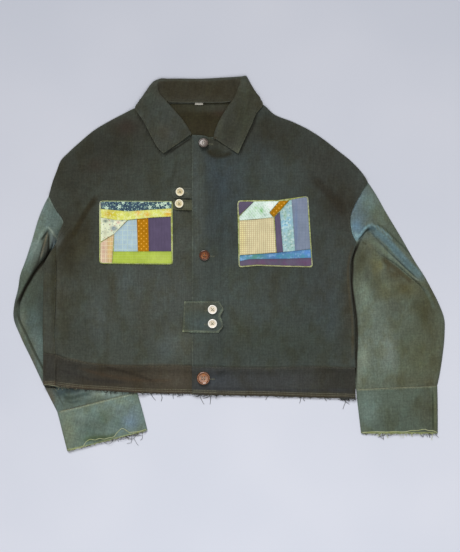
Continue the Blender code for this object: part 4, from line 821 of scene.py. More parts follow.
def dyed(grid, name):
    """The colour at each point of a piece's grid, as linear colour: its ground, blotches and lines, painted
    shade and painted highlights among them.
    """
    spots = grid.reshape(-1, 3)
    ground, stains_and_shades = DYE_AND_PAINTED_LIGHT[name]
    colour = np.tile(np.array(linear(ground)), (len(spots), 1))
    for x, y, wide, tall, tint, strength in stains_and_shades:
        reach = ((spots[:, 0] - x) / wide) ** 2 + ((spots[:, 1] - y) / tall) ** 2
        share = (strength * np.exp(-reach * 1.1))[:, None]
        colour = colour * (1 - share) + np.array(linear(tint)) * share
    for line, half, tint, strength in DYE_AND_PAINTED_LIGHT_LINES.get(name, []):
        away, place, _ = beside(spots[:, :2], line)
        fade = np.clip(8 * place * (1 - place) + 0.3, 0, 1)
        share = (strength * fade * np.exp(-((away / half) ** 4) * 0.8))[:, None]
        colour = colour * (1 - share) + np.array(linear(tint)) * share
    return colour


def finish_piece(piece, material, nodes=(), smooth=38):
    """Give a piece its material, its smooth shading and its place in the frame, and hide the CAD solids that
    it stands for.
    """
    piece.data.materials.clear()
    piece.data.materials.append(material)
    bpy.ops.object.select_all(action="DESELECT")
    bpy.context.view_layer.objects.active = piece
    piece.select_set(True)
    bpy.ops.object.shade_smooth_by_angle(angle=math.radians(smooth))
    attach(piece, "root")
    if nodes:
        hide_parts(*nodes)


def mesh_object(name, points, faces):
    """A named object from points in millimetres."""
    mesh = bpy.data.meshes.new(name)
    mesh.from_pydata((np.asarray(points) * MM).tolist(), [], faces)
    piece = bpy.data.objects.new(name, mesh)
    bpy.context.scene.collection.objects.link(piece)
    return piece


def cloth(name, grid, wall, material, nodes, edge=None, colours=None, closed=False):
    """A sheet of cloth: a wall on the grid of points of its middle, open or closed round."""
    rows, columns = grid.shape[:2]
    points = grid.reshape(-1, 3)
    last = columns if closed else columns - 1
    faces = [(i * columns + j, i * columns + (j + 1) % columns,
              (i + 1) * columns + (j + 1) % columns, (i + 1) * columns + j)
             for i in range(rows - 1) for j in range(last)]
    piece = mesh_object(name, points, faces)
    mesh = piece.data
    if edge is not None:
        worn = mesh.attributes.new("edge", "FLOAT", "POINT")
        worn.data.foreach_set("value", edge.ravel().astype(np.float32))
    if colours is not None:
        # The colour attribute carries the dyes together with painted shade and painted highlights.
        mesh.attributes.new("dye_and_painted_light", "FLOAT_COLOR", "POINT").data.foreach_set("color", colours.ravel())
    shape = bmesh.new()
    shape.from_mesh(mesh)
    bmesh.ops.remove_doubles(shape, verts=shape.verts, dist=WELD * MM)
    bmesh.ops.dissolve_degenerate(shape, edges=shape.edges, dist=WELD * MM)
    bmesh.ops.recalc_face_normals(shape, faces=shape.faces)
    shape.to_mesh(mesh)
    shape.free()
    wall_maker = piece.modifiers.new("cloth wall", "SOLIDIFY")
    wall_maker.thickness = wall * MM
    wall_maker.offset = 0.0
    bpy.context.view_layer.objects.active = piece
    bpy.ops.object.modifier_apply(modifier=wall_maker.name)
    finish_piece(piece, material, nodes)


# ================================================================== materials

def node(tree, kind, inputs=(), **settings):
    """Add a node with its settings, and link or set each of its named inputs."""
    made = tree.nodes.new("ShaderNode" + kind)
    for key, value in settings.items():
        setattr(made, key, value)
    for key, value in dict(inputs).items():
        if isinstance(value, bpy.types.NodeSocket):
            tree.links.new(value, made.inputs[key])
        else:
            made.inputs[key].default_value = value
    return made


def new_material(name, roughness, **values):
    """A named material, its node tree and its Principled shader, with the plain values set on that."""
    material = bpy.data.materials.new(name)
    material.use_nodes = True
    tree = material.node_tree
    surface = tree.nodes["Principled BSDF"]
    surface.inputs["Roughness"].default_value = roughness
    for key, value in values.items():
        surface.inputs[key.replace("_", " ")].default_value = value
    return material, tree, surface


def mixed(tree, share, first, second, kind="MIX"):
    """One colour mixed into another by a share."""
    made = node(tree, "Mix", {0: share, 6: first, 7: second}, data_type="RGBA", blend_type=kind)
    return made.outputs[2]


def ramp(tree, value, low, high, to_low=0.0, to_high=1.0):
    """A value mapped smoothly from one range to another."""
    made = node(tree, "MapRange", {"Value": value, "From Min": low, "From Max": high,
                                   "To Min": to_low, "To Max": to_high},
                interpolation_type="SMOOTHSTEP")
    return made.outputs[0]


def stretched(tree, place, across, up, turn=0.0):
    """Object coordinates turned and divided by two lengths in millimetres."""
    turned = node(tree, "Mapping", {"Vector": place, "Rotation": (0, 0, math.radians(turn))})
    return node(tree, "Mapping", {"Vector": turned.outputs[0],
                                  "Scale": (1000 / across, 1000 / up, 1000 / up)}).outputs[0]


def noise(tree, place, across, up, turn=0.0, **inputs):
    """Uneven noise whose lumps have about this width and height in millimetres."""
    values = {"Vector": stretched(tree, place, across, up, turn), "Scale": 1.0, **inputs}
    return node(tree, "TexNoise", values).outputs[0]


def maths(tree, operation, *values):
    """One step of arithmetic on numbers or on what other nodes give."""
    return node(tree, "Math", dict(enumerate(values)), operation=operation).outputs[0]


def times(tree, colour, factor):
    """A colour multiplied by another colour or by a number."""
    return mixed(tree, 1.0, colour, factor, "MULTIPLY")


def attribute(tree, name, output="Fac"):
    """What a piece's mesh holds under this name at each place."""
    return node(tree, "Attribute", attribute_name=name).outputs[output]


def weave_bump(tree, surface, place, pitch, height, turn=0.0):
    """The relief of a plain weave: warp and weft threads, uneven in thickness, crossing at right angles."""
    warp = noise(tree, place, pitch, pitch * 14, turn, Detail=2.0)
    weft = noise(tree, place, pitch * 14, pitch, turn, Detail=2.0)
    both = maths(tree, "ADD", warp, weft)
    bump = node(tree, "Bump", {"Height": both, "Strength": 0.55, "Distance": height * MM})
    tree.links.new(bump.outputs[0], surface.inputs["Normal"])
    return warp, weft


def dyed_canvas(name, turn=0.0):
    """Cotton canvas, dyed by hand after sewing and washed soft: matt, with slubs, clouds and worn seams."""
    material, tree, surface = new_material(name, 0.9, Sheen_Weight=0.04, Sheen_Roughness=0.6,
                                           Specular_IOR_Level=0.2)
    place = node(tree, "TexCoord").outputs["Object"]
    # Real threads are 0.6 mm apart, too fine to show, so the slubs are drawn 2.2 mm wide.
    warp, weft = weave_bump(tree, surface, place, 2.2, 0.35, turn)
    cloud = noise(tree, place, 34, 52, turn, Detail=4.0, Roughness=0.6)
    patchy = noise(tree, place, 17, 24, turn + 40, Detail=3.0, Roughness=0.65)
    speck = noise(tree, place, 3.4, 4.2, turn, Detail=3.0, Roughness=0.7)
    # The attribute holds each piece's colour with its painted shade and painted highlights.
    colour = attribute(tree, "dye_and_painted_light", "Color")
    browner = times(tree, colour, (0.86, 0.8, 0.66, 1))
    colour = mixed(tree, ramp(tree, cloud, 0.44, 0.66, 0.0, 0.75), colour, browner)
    faded = times(tree, colour, (1.1, 1.17, 1.18, 1))
    colour = mixed(tree, ramp(tree, patchy, 0.46, 0.68, 0.0, 0.8), colour, faded)
    colour = times(tree, colour, ramp(tree, warp, 0.3, 0.72, 0.91, 1.1))
    colour = times(tree, colour, ramp(tree, weft, 0.3, 0.72, 0.94, 1.07))
    colour = times(tree, colour, ramp(tree, speck, 0.3, 0.74, 0.84, 1.18))
    at_seam = ramp(tree, attribute(tree, "edge"), 0.6, 3.2, 1.0, 0.0)
    rubbed = maths(tree, "MULTIPLY", at_seam, ramp(tree, speck, 0.38, 0.6))
    bare = times(tree, colour, (1.5, 1.46, 1.3, 1))
    colour = mixed(tree, maths(tree, "MULTIPLY", rubbed, 0.55), colour, bare)
    tree.links.new(colour, surface.inputs["Base Color"])
    return material


def flat_mask(tree, place, kind, size, amount, turn, shift):
    """Where one colour of a print lies: 0 to 1 over the cloth, from a motif's size in millimetres."""
    shifted = node(tree, "Mapping", {"Vector": place, "Location": (shift * MM, shift * 0.7 * MM, 0)})
    spots = stretched(tree, shifted.outputs[0], size, size, turn)
    flat = scaled(tree, spots, (1, 1, 0))
    if kind in ("flower", "spot", "leaf"):
        return motif_mask(tree, flat, kind, amount)
    if kind == "dot":
        cells = scattered(tree, flat, 0.0)
        return ramp(tree, cells.outputs["Distance"], amount * 0.7, amount * 1.3, 1.0, 0.0)
    if kind == "cloud":
        cloud = node(tree, "TexNoise", {"Vector": flat, "Scale": 1.0, "Detail": 3.0, "Roughness": 0.6})
        return ramp(tree, cloud.outputs[0], amount - 0.07, amount + 0.07)
    parts = node(tree, "SeparateXYZ", {0: flat})
    lines = []
    for axis in ((0, 1) if kind == "check" else (0,)):
        step = maths(tree, "PINGPONG", parts.outputs[axis], 1.0)
        lines.append(ramp(tree, step, amount * 0.7, amount * 1.3, 1.0, 0.0))
    return maths(tree, "MAXIMUM", lines[0], lines[-1])


def scaled(tree, vector, by):
    """A vector multiplied part by part."""
    return node(tree, "VectorMath", {0: vector, 1: by}, operation="MULTIPLY").outputs[0]


def scattered(tree, flat, randomness):
    """Cells with one motif each, in rows at 0 and strewn towards 1."""
    return node(tree, "TexVoronoi", {"Vector": flat, "Scale": 1.0, "Randomness": randomness},
                voronoi_dimensions="2D")


def motif_mask(tree, flat, kind, amount):
    """Strewn motifs: round spots, slim leaves that turn about, or flowers of five petals."""
    if kind == "leaf":
        bent = node(tree, "TexNoise", {"Vector": flat, "Scale": 0.35}).outputs[0]
        angle = ramp(tree, bent, 0.3, 0.7, -2.4, 2.4)
        turned = node(tree, "VectorRotate", {"Vector": flat, "Angle": angle}, rotation_type="Z_AXIS")
        flat = scaled(tree, turned.outputs[0], (1.0, 0.42, 0))
    cells = scattered(tree, flat, 0.85)
    near = cells.outputs["Distance"]
    if kind == "flower":
        off = node(tree, "VectorMath", {0: flat, 1: cells.outputs["Position"]}, operation="SUBTRACT")
        parts = node(tree, "SeparateXYZ", {0: off.outputs[0]})
        heading = maths(tree, "ARCTAN2", parts.outputs[1], parts.outputs[0])
        scallop = maths(tree, "COSINE", maths(tree, "MULTIPLY", heading, 5.0))
        near = maths(tree, "MULTIPLY_ADD", scallop, 0.07, near)
    return ramp(tree, near, amount * 0.75, amount * 1.25, 1.0, 0.0)


def printed_cotton(name, layers):
    """Thin quilting cotton, plain woven and printed: soft and matt, its seams a little darker."""
    material, tree, surface = new_material(name, 0.85, Sheen_Weight=0.03, Sheen_Roughness=0.5,
                                           Specular_IOR_Level=0.18)
    place = node(tree, "TexCoord").outputs["Object"]
    # Threads of 0.3 mm are too fine to show, so they are drawn 1.1 mm apart.
    warp = weave_bump(tree, surface, place, 1.1, 0.12)[0]
    colour = attribute(tree, "dye_and_painted_light", "Color")
    for kind, tint, size, amount, strength, turn, shift in layers:
        mask = flat_mask(tree, place, kind, size, amount, turn, shift)
        colour = mixed(tree, maths(tree, "MULTIPLY", mask, strength), colour, linear(tint))
    soft = noise(tree, place, 14, 18, Detail=3.0)
    colour = times(tree, colour, ramp(tree, soft, 0.3, 0.7, 0.93, 1.06))
    colour = times(tree, colour, ramp(tree, warp, 0.3, 0.7, 0.94, 1.06))
    colour = times(tree, colour, ramp(tree, attribute(tree, "edge"), 0.0, 1.6, 0.84, 1.0))
    tree.links.new(colour, surface.inputs["Base Color"])
    return material


# The layers of a print over its ground: kind, colour, size in mm, amount, strength, turn and shift.
PRINTS = {
    "left_navy_floral": [
        ("spot", "#1c2b44", 5.0, 0.34, 0.7, 0, 3), ("leaf", "#7f9f9a", 5.6, 0.22, 0.85, 20, 11),
        ("flower", "#d2e8cd", 15.0, 0.22, 1.0, 8, 5), ("spot", "#a9cbb6", 5.2, 0.19, 0.9, 0, 31),
        ("spot", "#7fa08a", 15.0, 0.07, 0.9, 8, 5)],
    "left_yellow_floral": [
        ("cloud", "#f2f4b4", 6, 0.54, 0.7, 0, 2), ("leaf", "#bcc455", 3.8, 0.2, 0.5, 0, 17),
        ("spot", "#b3b23a", 5.0, 0.13, 0.5, 0, 44)],
    "left_white_floral": [
        ("leaf", "#a9b29a", 6.4, 0.2, 0.6, 30, 6), ("spot", "#70828a", 8.5, 0.13, 0.7, 0, 40),
        ("spot", "#c79c86", 14, 0.1, 0.7, 0, 21)],
    "left_blue_check": [
        ("check", "#a3bdd2", 1.6, 0.3, 0.5, 0, 0), ("check", "#c3d6c6", 4.8, 0.14, 0.6, 0, 1.2)],
    "orange_dots": [("dot", "#efae42", 7.2, 0.17, 1.0, 45, 2)],
    "left_plum": [("stripe", "#51465d", 1.5, 0.4, 0.5, 0, 0)],
    "left_lime": [("stripe", "#bccb6a", 2.6, 0.3, 0.4, 90, 0)],
    "left_pink_stripe": [
        ("stripe", "#c39a86", 2.0, 0.36, 0.6, 1, 0), ("check", "#ece2ba", 4.2, 0.14, 0.6, 1, 3)],
    "right_purple_corner": [("stripe", "#4f455c", 1.5, 0.4, 0.5, 40, 0)],
    "right_leaf_print": [
        ("cloud", "#b2d9ae", 6, 0.57, 0.6, 50, 4), ("stripe", "#f4f8f8", 2.2, 0.36, 0.35, -40, 0),
        ("spot", "#8fb59c", 5.2, 0.14, 0.6, 0, 33)],
    "right_beige_check": [("check", "#b9a07a", 2.0, 0.26, 0.85, 1, 0)],
    "right_purple_strip": [("stripe", "#4b4160", 1.5, 0.4, 0.5, 4, 0)],
    "right_aqua_floral": [
        ("cloud", "#c2dad3", 7, 0.56, 0.7, 0, 12), ("flower", "#dbe9df", 11, 0.17, 0.5, 0, 3),
        ("spot", "#7c9f8c", 7.5, 0.15, 0.8, 0, 25)],
    "right_lavender": [("check", "#6c7990", 1.5, 0.32, 0.6, 0, 0)],
    "right_blue_batik": [
        ("cloud", "#4d9aa0", 12, 0.56, 0.5, 0, 5), ("cloud", "#8fb6dc", 8, 0.58, 0.6, 0, 50)],
    "right_purple_foot": [("cloud", "#6d4a6b", 14, 0.56, 0.5, 0, 6)],
    "pocket_ground": [("cloud", "#dde3a8", 9, 0.5, 0.5, 0, 0)],
}


def sewing_thread(name, colour, worn):
    """Spun cotton sewing thread: matt, each stitch a little lighter or darker than the next."""
    material, tree, surface = new_material(name, 0.7, Sheen_Weight=0.1, Specular_IOR_Level=0.3)
    place = node(tree, "TexCoord").outputs["Object"]
    patchy = noise(tree, place, 9, 9, Detail=2.0)
    tint = mixed(tree, ramp(tree, patchy, 0.36, 0.64), linear(colour), linear(worn))
    tree.links.new(tint, surface.inputs["Base Color"])
    return material


def marbled_resin(name, light, dark, glint, rim, roughness=0.22):
    """Cast polyester button resin, turned and tumble polished: marbled, its rim cast in another shade."""
    material, tree, surface = new_material(name, roughness, IOR=1.54, Coat_Weight=0.4,
                                           Coat_Roughness=roughness * 0.6)
    place = node(tree, "TexCoord").outputs["Object"]
    reach = attribute(tree, "reach")
    swirl = noise(tree, place, 5, 9, 30, Detail=3.0, Distortion=1.4)
    fleck = noise(tree, place, 3, 4, -20, Detail=2.0)
    colour = mixed(tree, ramp(tree, swirl, 0.38, 0.62), linear(dark), linear(light))
    colour = mixed(tree, ramp(tree, fleck, 0.58, 0.72, 0.0, 0.7), colour, linear(glint))
    colour = mixed(tree, ramp(tree, reach, 0.58, 0.78, 0.0, 0.85), colour, linear(rim))
    tree.links.new(colour, surface.inputs["Base Color"])
    return material


def plain_tape(name):
    """Woven cotton tape, bleached: a blank loop of it marks the neck."""
    material, tree, surface = new_material(name, 0.8, Sheen_Weight=0.1)
    place = node(tree, "TexCoord").outputs["Object"]
    warp = weave_bump(tree, surface, place, 1.0, 0.15)[0]
    colour = mixed(tree, ramp(tree, warp, 0.3, 0.7), linear("#e4dfd2"), linear("#d2cbbb"))
    tree.links.new(colour, surface.inputs["Base Color"])
    return material


def painted_floor(name):
    """Matt painted board, rolled: a plain cool white with hardly any mottle."""
    material, tree, surface = new_material(name, 0.85, Specular_IOR_Level=0.2)
    place = node(tree, "TexCoord").outputs["Object"]
    soft = noise(tree, place, 380, 380)
    colour = mixed(tree, ramp(tree, soft, 0.3, 0.7), linear("#cdd0da"), linear("#d3d5de"))
    tree.links.new(colour, surface.inputs["Base Color"])
    return material


CANVAS_BODY = dyed_canvas("cotton_canvas_body_dyed")
CANVAS_COLLAR = dyed_canvas("cotton_canvas_collar_dyed", turn=12)
CANVAS_ARM_LEFT = dyed_canvas("cotton_canvas_left_arm_dyed", turn=14)
CANVAS_ARM_RIGHT = dyed_canvas("cotton_canvas_right_arm_dyed", turn=-4)
POCKET_GROUND = printed_cotton("quilting_cotton_pocket_ground", PRINTS["pocket_ground"])
THREAD_OLIVE = sewing_thread("cotton_thread_olive", "#4f5145", "#43443a")
THREAD_DARK = sewing_thread("cotton_thread_dark", "#383a33", "#2c2c25")
THREAD_LIME = sewing_thread("cotton_thread_lime", "#b2b87c", "#c8cca2")
THREAD_SAND = sewing_thread("cotton_thread_sand", "#8f8e74", "#73735e")
HORN_RESINS = [marbled_resin("polyester_resin_horn_smoky", "#6e5b4b", "#443429", "#a89d92", "#4c4038", 0.36),
               marbled_resin("polyester_resin_horn_brown", "#96582d", "#5c2d16", "#c08a50", "#46281a"),
               marbled_resin("polyester_resin_horn_amber", "#9a5a1e", "#6d3c12", "#d0903e", "#6a3c18")]
SHELL_RESINS = [marbled_resin("polyester_resin_shell_ivory", "#e6d8ac", "#c9b588", "#f2e8c6", "#fff8de"),
                marbled_resin("polyester_resin_shell_cream", "#eaddc6", "#cbbba0", "#f4ecdc", "#fffaf0")]


# ================================================================== sleeves and cuffs

TUCK = 7.0                     # how far the cloth runs back in under a sleeve's standing fold
RING_STEPS = (3, 12, 11, 2, 2, 2, 2, 4, 20, 18, 10, 4, 3, 2, 2, 3, 8, 8, 4, 3, 3)


def unit(vector):
    """The same heading at length one."""
    return vector / np.linalg.norm(vector)


def arm_ring(row, wall):
    """One ring round a flattened sleeve: the upper layer from the outer edge over the fold to the inner
    edge, and the lower layer back."""
    outer, half, fold, inner = (np.array(row[k:k + 2]) for k in (0, 2, 4, 6))
    step, puff = row[8], row[9]
    over = min(1.0, max(0.0, step / 2.4))
    width = np.linalg.norm(inner - fold)
    low = wall / 2 + 0.05
    top = low + wall + SLEEVE_AIR
    into, back, onward = unit(half - outer), unit(fold - half), unit(inner - fold)
    spots = [
        (outer, (low + top) / 2),
        (outer + into * 3.0, top + puff * 0.5),
        (half, top + puff + step * 0.75),
        (fold - back * 2.6, top + puff * 0.8 + step),
        (fold, top + puff * (1 - over) + step * 0.62),
        (fold - back * TUCK * 0.5 * over, top + puff * (1 - over) + step * 0.32),
        (fold - back * TUCK * over + onward * 0.8, top + puff * (1 - over) + step * 0.08),
        (fold - back * TUCK * 0.5 * over + onward * 2.0, top + puff * (1 - over) - 0.2 * over),
        (fold + onward * min(7.0, width * 0.4), top + puff * (1 - 0.85 * over)),
        (fold + onward * width * 0.46, top + puff),
        (fold + onward * width * 0.72, top + puff * 0.85),
        (inner - onward * min(13.0, width * 0.2), top + puff * 0.35),
        (inner - onward * min(6.0, width * 0.12), top),
        (inner - onward * min(2.0, width * 0.06), top - 0.2),
        (inner, (low + top) / 2),
        (inner - onward * min(2.5, width * 0.06), low),
        (inner - onward * min(8.0, width * 0.15), low),
        (inner + (fold - inner) * 0.5, low),
        (fold + onward * 2.0, low),
        (half, low),
        (outer + into * 2.5, low),
    ]
    return np.array([(*place, height) for place, height in spots])


def round_ring(spots):
    """A ring's spots joined by a smooth closed line, with a set number of steps between each pair."""
    ahead = np.roll(spots, -1, axis=0) - spots
    gaps = np.maximum(np.linalg.norm(ahead, axis=1), 0.05)[:, None]
    slopes = ahead / gaps
    before, before_gap = np.roll(slopes, 1, axis=0), np.roll(gaps, 1, axis=0)
    tangents = (before * gaps + slopes * before_gap) / (gaps + before_gap)
    line = []
    for k, steps in enumerate(RING_STEPS):
        t = np.arange(steps)[:, None] / steps
        following = (k + 1) % len(spots)
        first, last, leave, arrive = weights(t)
        line.append(spots[k] * first + spots[following] * last
                    + gaps[k] * (tangents[k] * leave + tangents[following] * arrive))
    return np.vstack(line)


def arm_tube(table, wall, folds, seed, lap=0.0):
    """The grid of a sleeve or cuff: smooth rings down the arm, folded and crumpled on the upper side."""
    rows = smooth_line([sum(map(tuple, row[:4]), ()) + row[4:] for row in table], 2.2)
    rings = np.array([round_ring(arm_ring(row, wall)) for row in rows])
    middle = wall + SLEEVE_AIR / 2
    upper = np.clip((rings[:, :, 2] - middle) / 1.4, 0, 1)
    x, y = rings[:, :, 0], rings[:, :, 1]
    ends = np.minimum(np.arange(len(rings)), np.arange(len(rings))[::-1])[:, None] * 2.2
    relief = fold_heights(x, y, folds) + 0.35 * crumple(x, y, 38, seed)
    relief = relief * np.clip(ends / 10.0, 0.15, 1)
    rings[:, :, 2] = np.maximum(rings[:, :, 2] + relief * upper, wall / 2 + wall * upper)
    if lap:
        heading = unit((rings[0] - rings[2])[:, :2].mean(axis=0))
        tucked = rings[0].copy()
        share = np.clip((rings[0, :, 2] - middle) / 0.8, 0, 1)
        tucked[:, :2] += heading * lap * share[:, None]
        rings = np.concatenate([tucked[None], rings])
    return rings


def ring_edge(rings):
    """How far each ring of a tube lies from the tube's nearer end."""
    reach = np.cumsum(np.linalg.norm(np.diff(rings[:, 0], axis=0, prepend=rings[:1, 0]), axis=1))
    return np.repeat(np.minimum(reach, reach[-1] - reach)[:, None], rings.shape[1], axis=1)


def build_arms():
    """Sleeves and cuffs, which lie on the surface under the body."""
    arms = [
        ("sleeve_left", SLEEVE_LEFT, CANVAS, SLEEVE_FOLDS_LEFT, CANVAS_ARM_LEFT, "sleeve_canvas", LAP),
        ("cuff_left", CUFF_LEFT, CUFF_CLOTH, CUFF_FOLDS_LEFT, CANVAS_ARM_LEFT, "cuff_canvas", 0.0),
        ("sleeve_right", SLEEVE_RIGHT, CANVAS, SLEEVE_FOLDS_RIGHT, CANVAS_ARM_RIGHT, "sleeve_canvas", LAP),
        ("cuff_right", CUFF_RIGHT, CUFF_CLOTH, CUFF_FOLDS_RIGHT, CANVAS_ARM_RIGHT, "cuff_canvas", 0.0),
    ]
    for seed, (name, table, wall, folds, material, slot, lap) in enumerate(arms, 11):
        rings = arm_tube(table, wall, folds, seed, lap)
        cloth(name + "_cloth", rings, wall, material, [name], edge=ring_edge(rings),
              colours=dyed(rings, name), closed=True)
        pile.cover(rings, wall / 2, closed=True)


# ================================================================== body

def collar_sections():
    """The collar's grid before it settles: smooth sections from the left front round to the right."""
    rows = []
    inner = []
    reach = 0.0
    for neck, roll, turn, edge in np.array(COLLAR, float):
        rise = neck + (roll - neck) * (0.5, 0.5, 0.3)
        crown = roll + (turn - roll) * 0.3
        crown[2] = roll[2] + (LEAF_LAP if roll[1] < COLLAR_TOP - LEAF_LAP else -0.8)
        fall = turn + (edge - turn) * 0.5
        if edge[2] < UNDER_LEAF:
            fall[2] = edge[2]
        row = np.concatenate([neck, rise, roll, crown, turn, fall, edge])
        if rows:
            reach += np.linalg.norm((row - rows[-1][2:]).reshape(-1, 3), axis=1).mean()
        rows.append(np.concatenate([[reach, 0.0], row]))
    smooth_rows = smooth_line(rows, 4.0)[:, 2:]
    sections = smooth_rows.reshape(len(smooth_rows), -1, 3)
    grid = np.array([along_space(section) for section in sections])
    grid[:, :, 2] = np.maximum(grid[:, :, 2], COLLAR_CLOTH / 2 + 0.1)
    # The points from the neck seam up to the roll's crest face into the neck; build_collar paints them dark
    # as painted shade.
    for row, section in zip(grid, sections):
        crest = int(np.argmin(np.linalg.norm(row - section[2], axis=1)))
        inner.append(np.arange(len(row)) <= crest)
    return grid, np.array(inner)


def along_space(section):
    """A section's points spread evenly along a line through them that turns most tightly at its folds."""
    gaps = np.maximum(np.linalg.norm(np.diff(section, axis=0), axis=1), 0.3)
    reach = np.concatenate([[0], np.cumsum(gaps)])
    slopes = np.diff(section, axis=0) / gaps[:, None]
    inner = (slopes[:-1] * gaps[1:, None] + slopes[1:] * gaps[:-1, None]) / (gaps[:-1] + gaps[1:])[:, None]
    tangents = np.vstack([slopes[:1], inner, slopes[-1:]])
    swing = np.minimum(np.append(gaps, gaps[-1]), np.append(gaps[0], gaps)) * 1.3
    places = np.linspace(0, reach[-1], COLLAR_STEPS + 1)
    k = np.clip(np.searchsorted(reach, places, side="right") - 1, 0, len(gaps) - 1)
    first, last, leave, arrive = weights(((places - reach[k]) / gaps[k])[:, None])
    going = np.minimum(swing[k], gaps[k])[:, None] * tangents[k]
    coming = np.minimum(swing[k + 1], gaps[k])[:, None] * tangents[k + 1]
    return section[k] * first + section[k + 1] * last + going * leave + coming * arrive


def with_wrap(back, seam_line, armpit_row):
    """The back's grid with the strip that wraps round the left fold on to the front, up to the seam."""
    rows = []
    seam = along(seam_line, np.linspace(0, 1, armpit_row + 1))
    height = 2 * CANVAS + 1.2
    for i, row in enumerate(back):
        x, y, base = row[0]
        if i > armpit_row:
            wrap = np.repeat(row[:1], WRAP_STEPS + TURN_STEPS, axis=0)
        else:
            flat = np.linspace(seam[i], (x + 2.4, y), WRAP_STEPS)
            upper = np.column_stack([flat, np.full(WRAP_STEPS, base + height)])
            turns = [(x + 2.4 - 3.0 * math.sin(a), y, base + height / 2 + height / 2 * math.cos(a))
                     for a in np.linspace(0, math.pi, TURN_STEPS + 1)[1:]]
            wrap = np.vstack([upper, turns])
        rows.append(np.vstack([wrap, row[1:]]))
    return np.array(rows)


def lay_back(collar):
    """The back and its hem band, laid on the sleeves and on the part of the collar that is under it."""
    shoulder_line = joined(SHOULDER_LEFT, NECK_BACK, SHOULDER_RIGHT)
    left_line = joined(SIDE_FOLD_LEFT, ARMHOLE_LEFT)
    right_line = joined(SIDE_RIGHT, ARMHOLE_RIGHT)
    reach = reach_of(left_line)
    armpit_share = reach[len(smooth_line(SIDE_FOLD_LEFT)) - 1] / reach[-1]
    flat = panel(smooth_line(BAND_SEAM_BACK), shoulder_line, left_line, right_line, BACK_CELL,
                 keep_up=[armpit_share])
    x, y = flat[:, :, 0], flat[:, :, 1]
    on_arms = pile.under(x, y, 10)
    arms_top = pile.top.copy()
    under = collar.copy()
    under[:, :, 2] = np.where(collar[:, :, 2] < UNDER_LEAF, collar[:, :, 2], 0.0)
    pile.top = pile.top * 0
    pile.cover(under, COLLAR_CLOTH / 2)
    off_arms = pile.under(x, y, 8)
    pile.top = np.maximum(pile.top, arms_top)
    share = np.clip((ARMPIT + 14 - y) / 28, 0, 1)
    share = share * share * (3 - 2 * share)
    back = laid(flat, CANVAS, base=on_arms * share + off_arms * (1 - share), pressed=ALL_ROUND, loft=0.0,
                waves=(60, 0.15, 3))
    pile.cover(back, CANVAS / 2)
    band_top = moved(BAND_SEAM_BACK, 0, -0.3)
    band_flat = panel(smooth_line(HEM_BACK), smooth_line(band_top), [HEM_BACK[0], band_top[0]],
                      [HEM_BACK[-1], band_top[-1]], BACK_CELL)
    band = laid(band_flat, CANVAS, pressed=("bottom", "top"), loft=0.0, waves=(60, 0.15, 4))
    pile.cover(band, CANVAS / 2)
    return back, band


def build_left_front():
    """The front that lies under the placket, and its hem band."""
    side = joined(moved(SIDE_SEAM_LEFT, -LAP * 0.7, 0), ARMHOLE_LEFT)
    stand = [(-26, -204 - LAP), (-26, 253)]
    neck = joined(SHOULDER_LEFT, NECK_LEFT)
    neck_share = reach_of(smooth_line(SHOULDER_LEFT))[-1] / reach_of(neck)[-1]
    flat = panel(smooth_line(moved(BAND_SEAM_LEFT, 0, -LAP)), neck, side, stand, keep_across=[neck_share])
    grid = laid(flat, CANVAS, 9, ("left", "top"), 1.8, FOLDS_LEFT, (52, 0.5, 1))
    lay_front("front_left", grid, ("top",))
    lay_band("band_left", HEM_LEFT, BAND_SEAM_LEFT, 5)


def build_back(back, band):
    """The back and its band as cloth, with the strip of both that wraps round on to the left front."""
    rows_below = int(np.argmin(np.abs(back[:, 0, 1] - SIDE_SEAM_LEFT[-1][1])))
    back = with_wrap(back, smooth_line(SIDE_SEAM_LEFT), rows_below)
    strip_part = (slice(None, rows_below + 1), slice(None, WRAP_STEPS), 2)
    wrap_floor = pile.under(back[:, :WRAP_STEPS, 0], back[:, :WRAP_STEPS, 1], 2) + AIR + CANVAS / 2
    back[strip_part] = np.maximum(back[strip_part], wrap_floor[:rows_below + 1])
    cloth("back_cloth", back, CANVAS, CANVAS_BODY, ["back"],
          edge=edge_distance(back, ("left", "top")), colours=dyed(back, "back"))
    pile.cover(back[:rows_below + 1, :WRAP_STEPS + TURN_STEPS], CANVAS / 2)
    band_seam = [HEM_LEFT[0], (BAND_SEAM_LEFT[0][0], BAND_SEAM_LEFT[0][1] - 0.3)]
    band = with_wrap(band, np.array(band_seam, float), len(band) - 1)
    cloth("band_back_cloth", band, CANVAS, CANVAS_BODY, ["band_back"],
          edge=edge_distance(band, ("left", "top")), colours=dyed(band, "band_back"))
    pile.cover(band[:, :WRAP_STEPS + TURN_STEPS], CANVAS / 2)


def build_right_front():
    """The front whose placket laps over, and its hem band."""
    neck = joined(NECK_RIGHT, SHOULDER_RIGHT)
    neck_share = reach_of(smooth_line(NECK_RIGHT))[-1] / reach_of(neck)[-1]
    side = joined(moved(SIDE_RIGHT, 2.0, 0), ARMHOLE_RIGHT)
    placket = [(-74, -205 - LAP), (-74, 257)]
    flat = panel(smooth_line(moved(BAND_SEAM_RIGHT, 0, -LAP)), neck, placket, side, keep_across=[neck_share])
    grid = laid(flat, CANVAS, 9, ("left", "right", "top"), 1.8, FOLDS_RIGHT, (52, 0.5, 2))
    lay_front("front_right", grid, ("left", "right", "top"))
    lay_band("band_right", HEM_RIGHT, BAND_SEAM_RIGHT, 6)


def build_upper_tabs():
    """The two ends of the tab that comes out from under the placket."""
    for name, lines in TABS_UPPER.items():
        lay_small(name, strip(*lines), CANVAS, CANVAS_BODY, 3,
                  ("left", "top", "bottom"), 0.7)


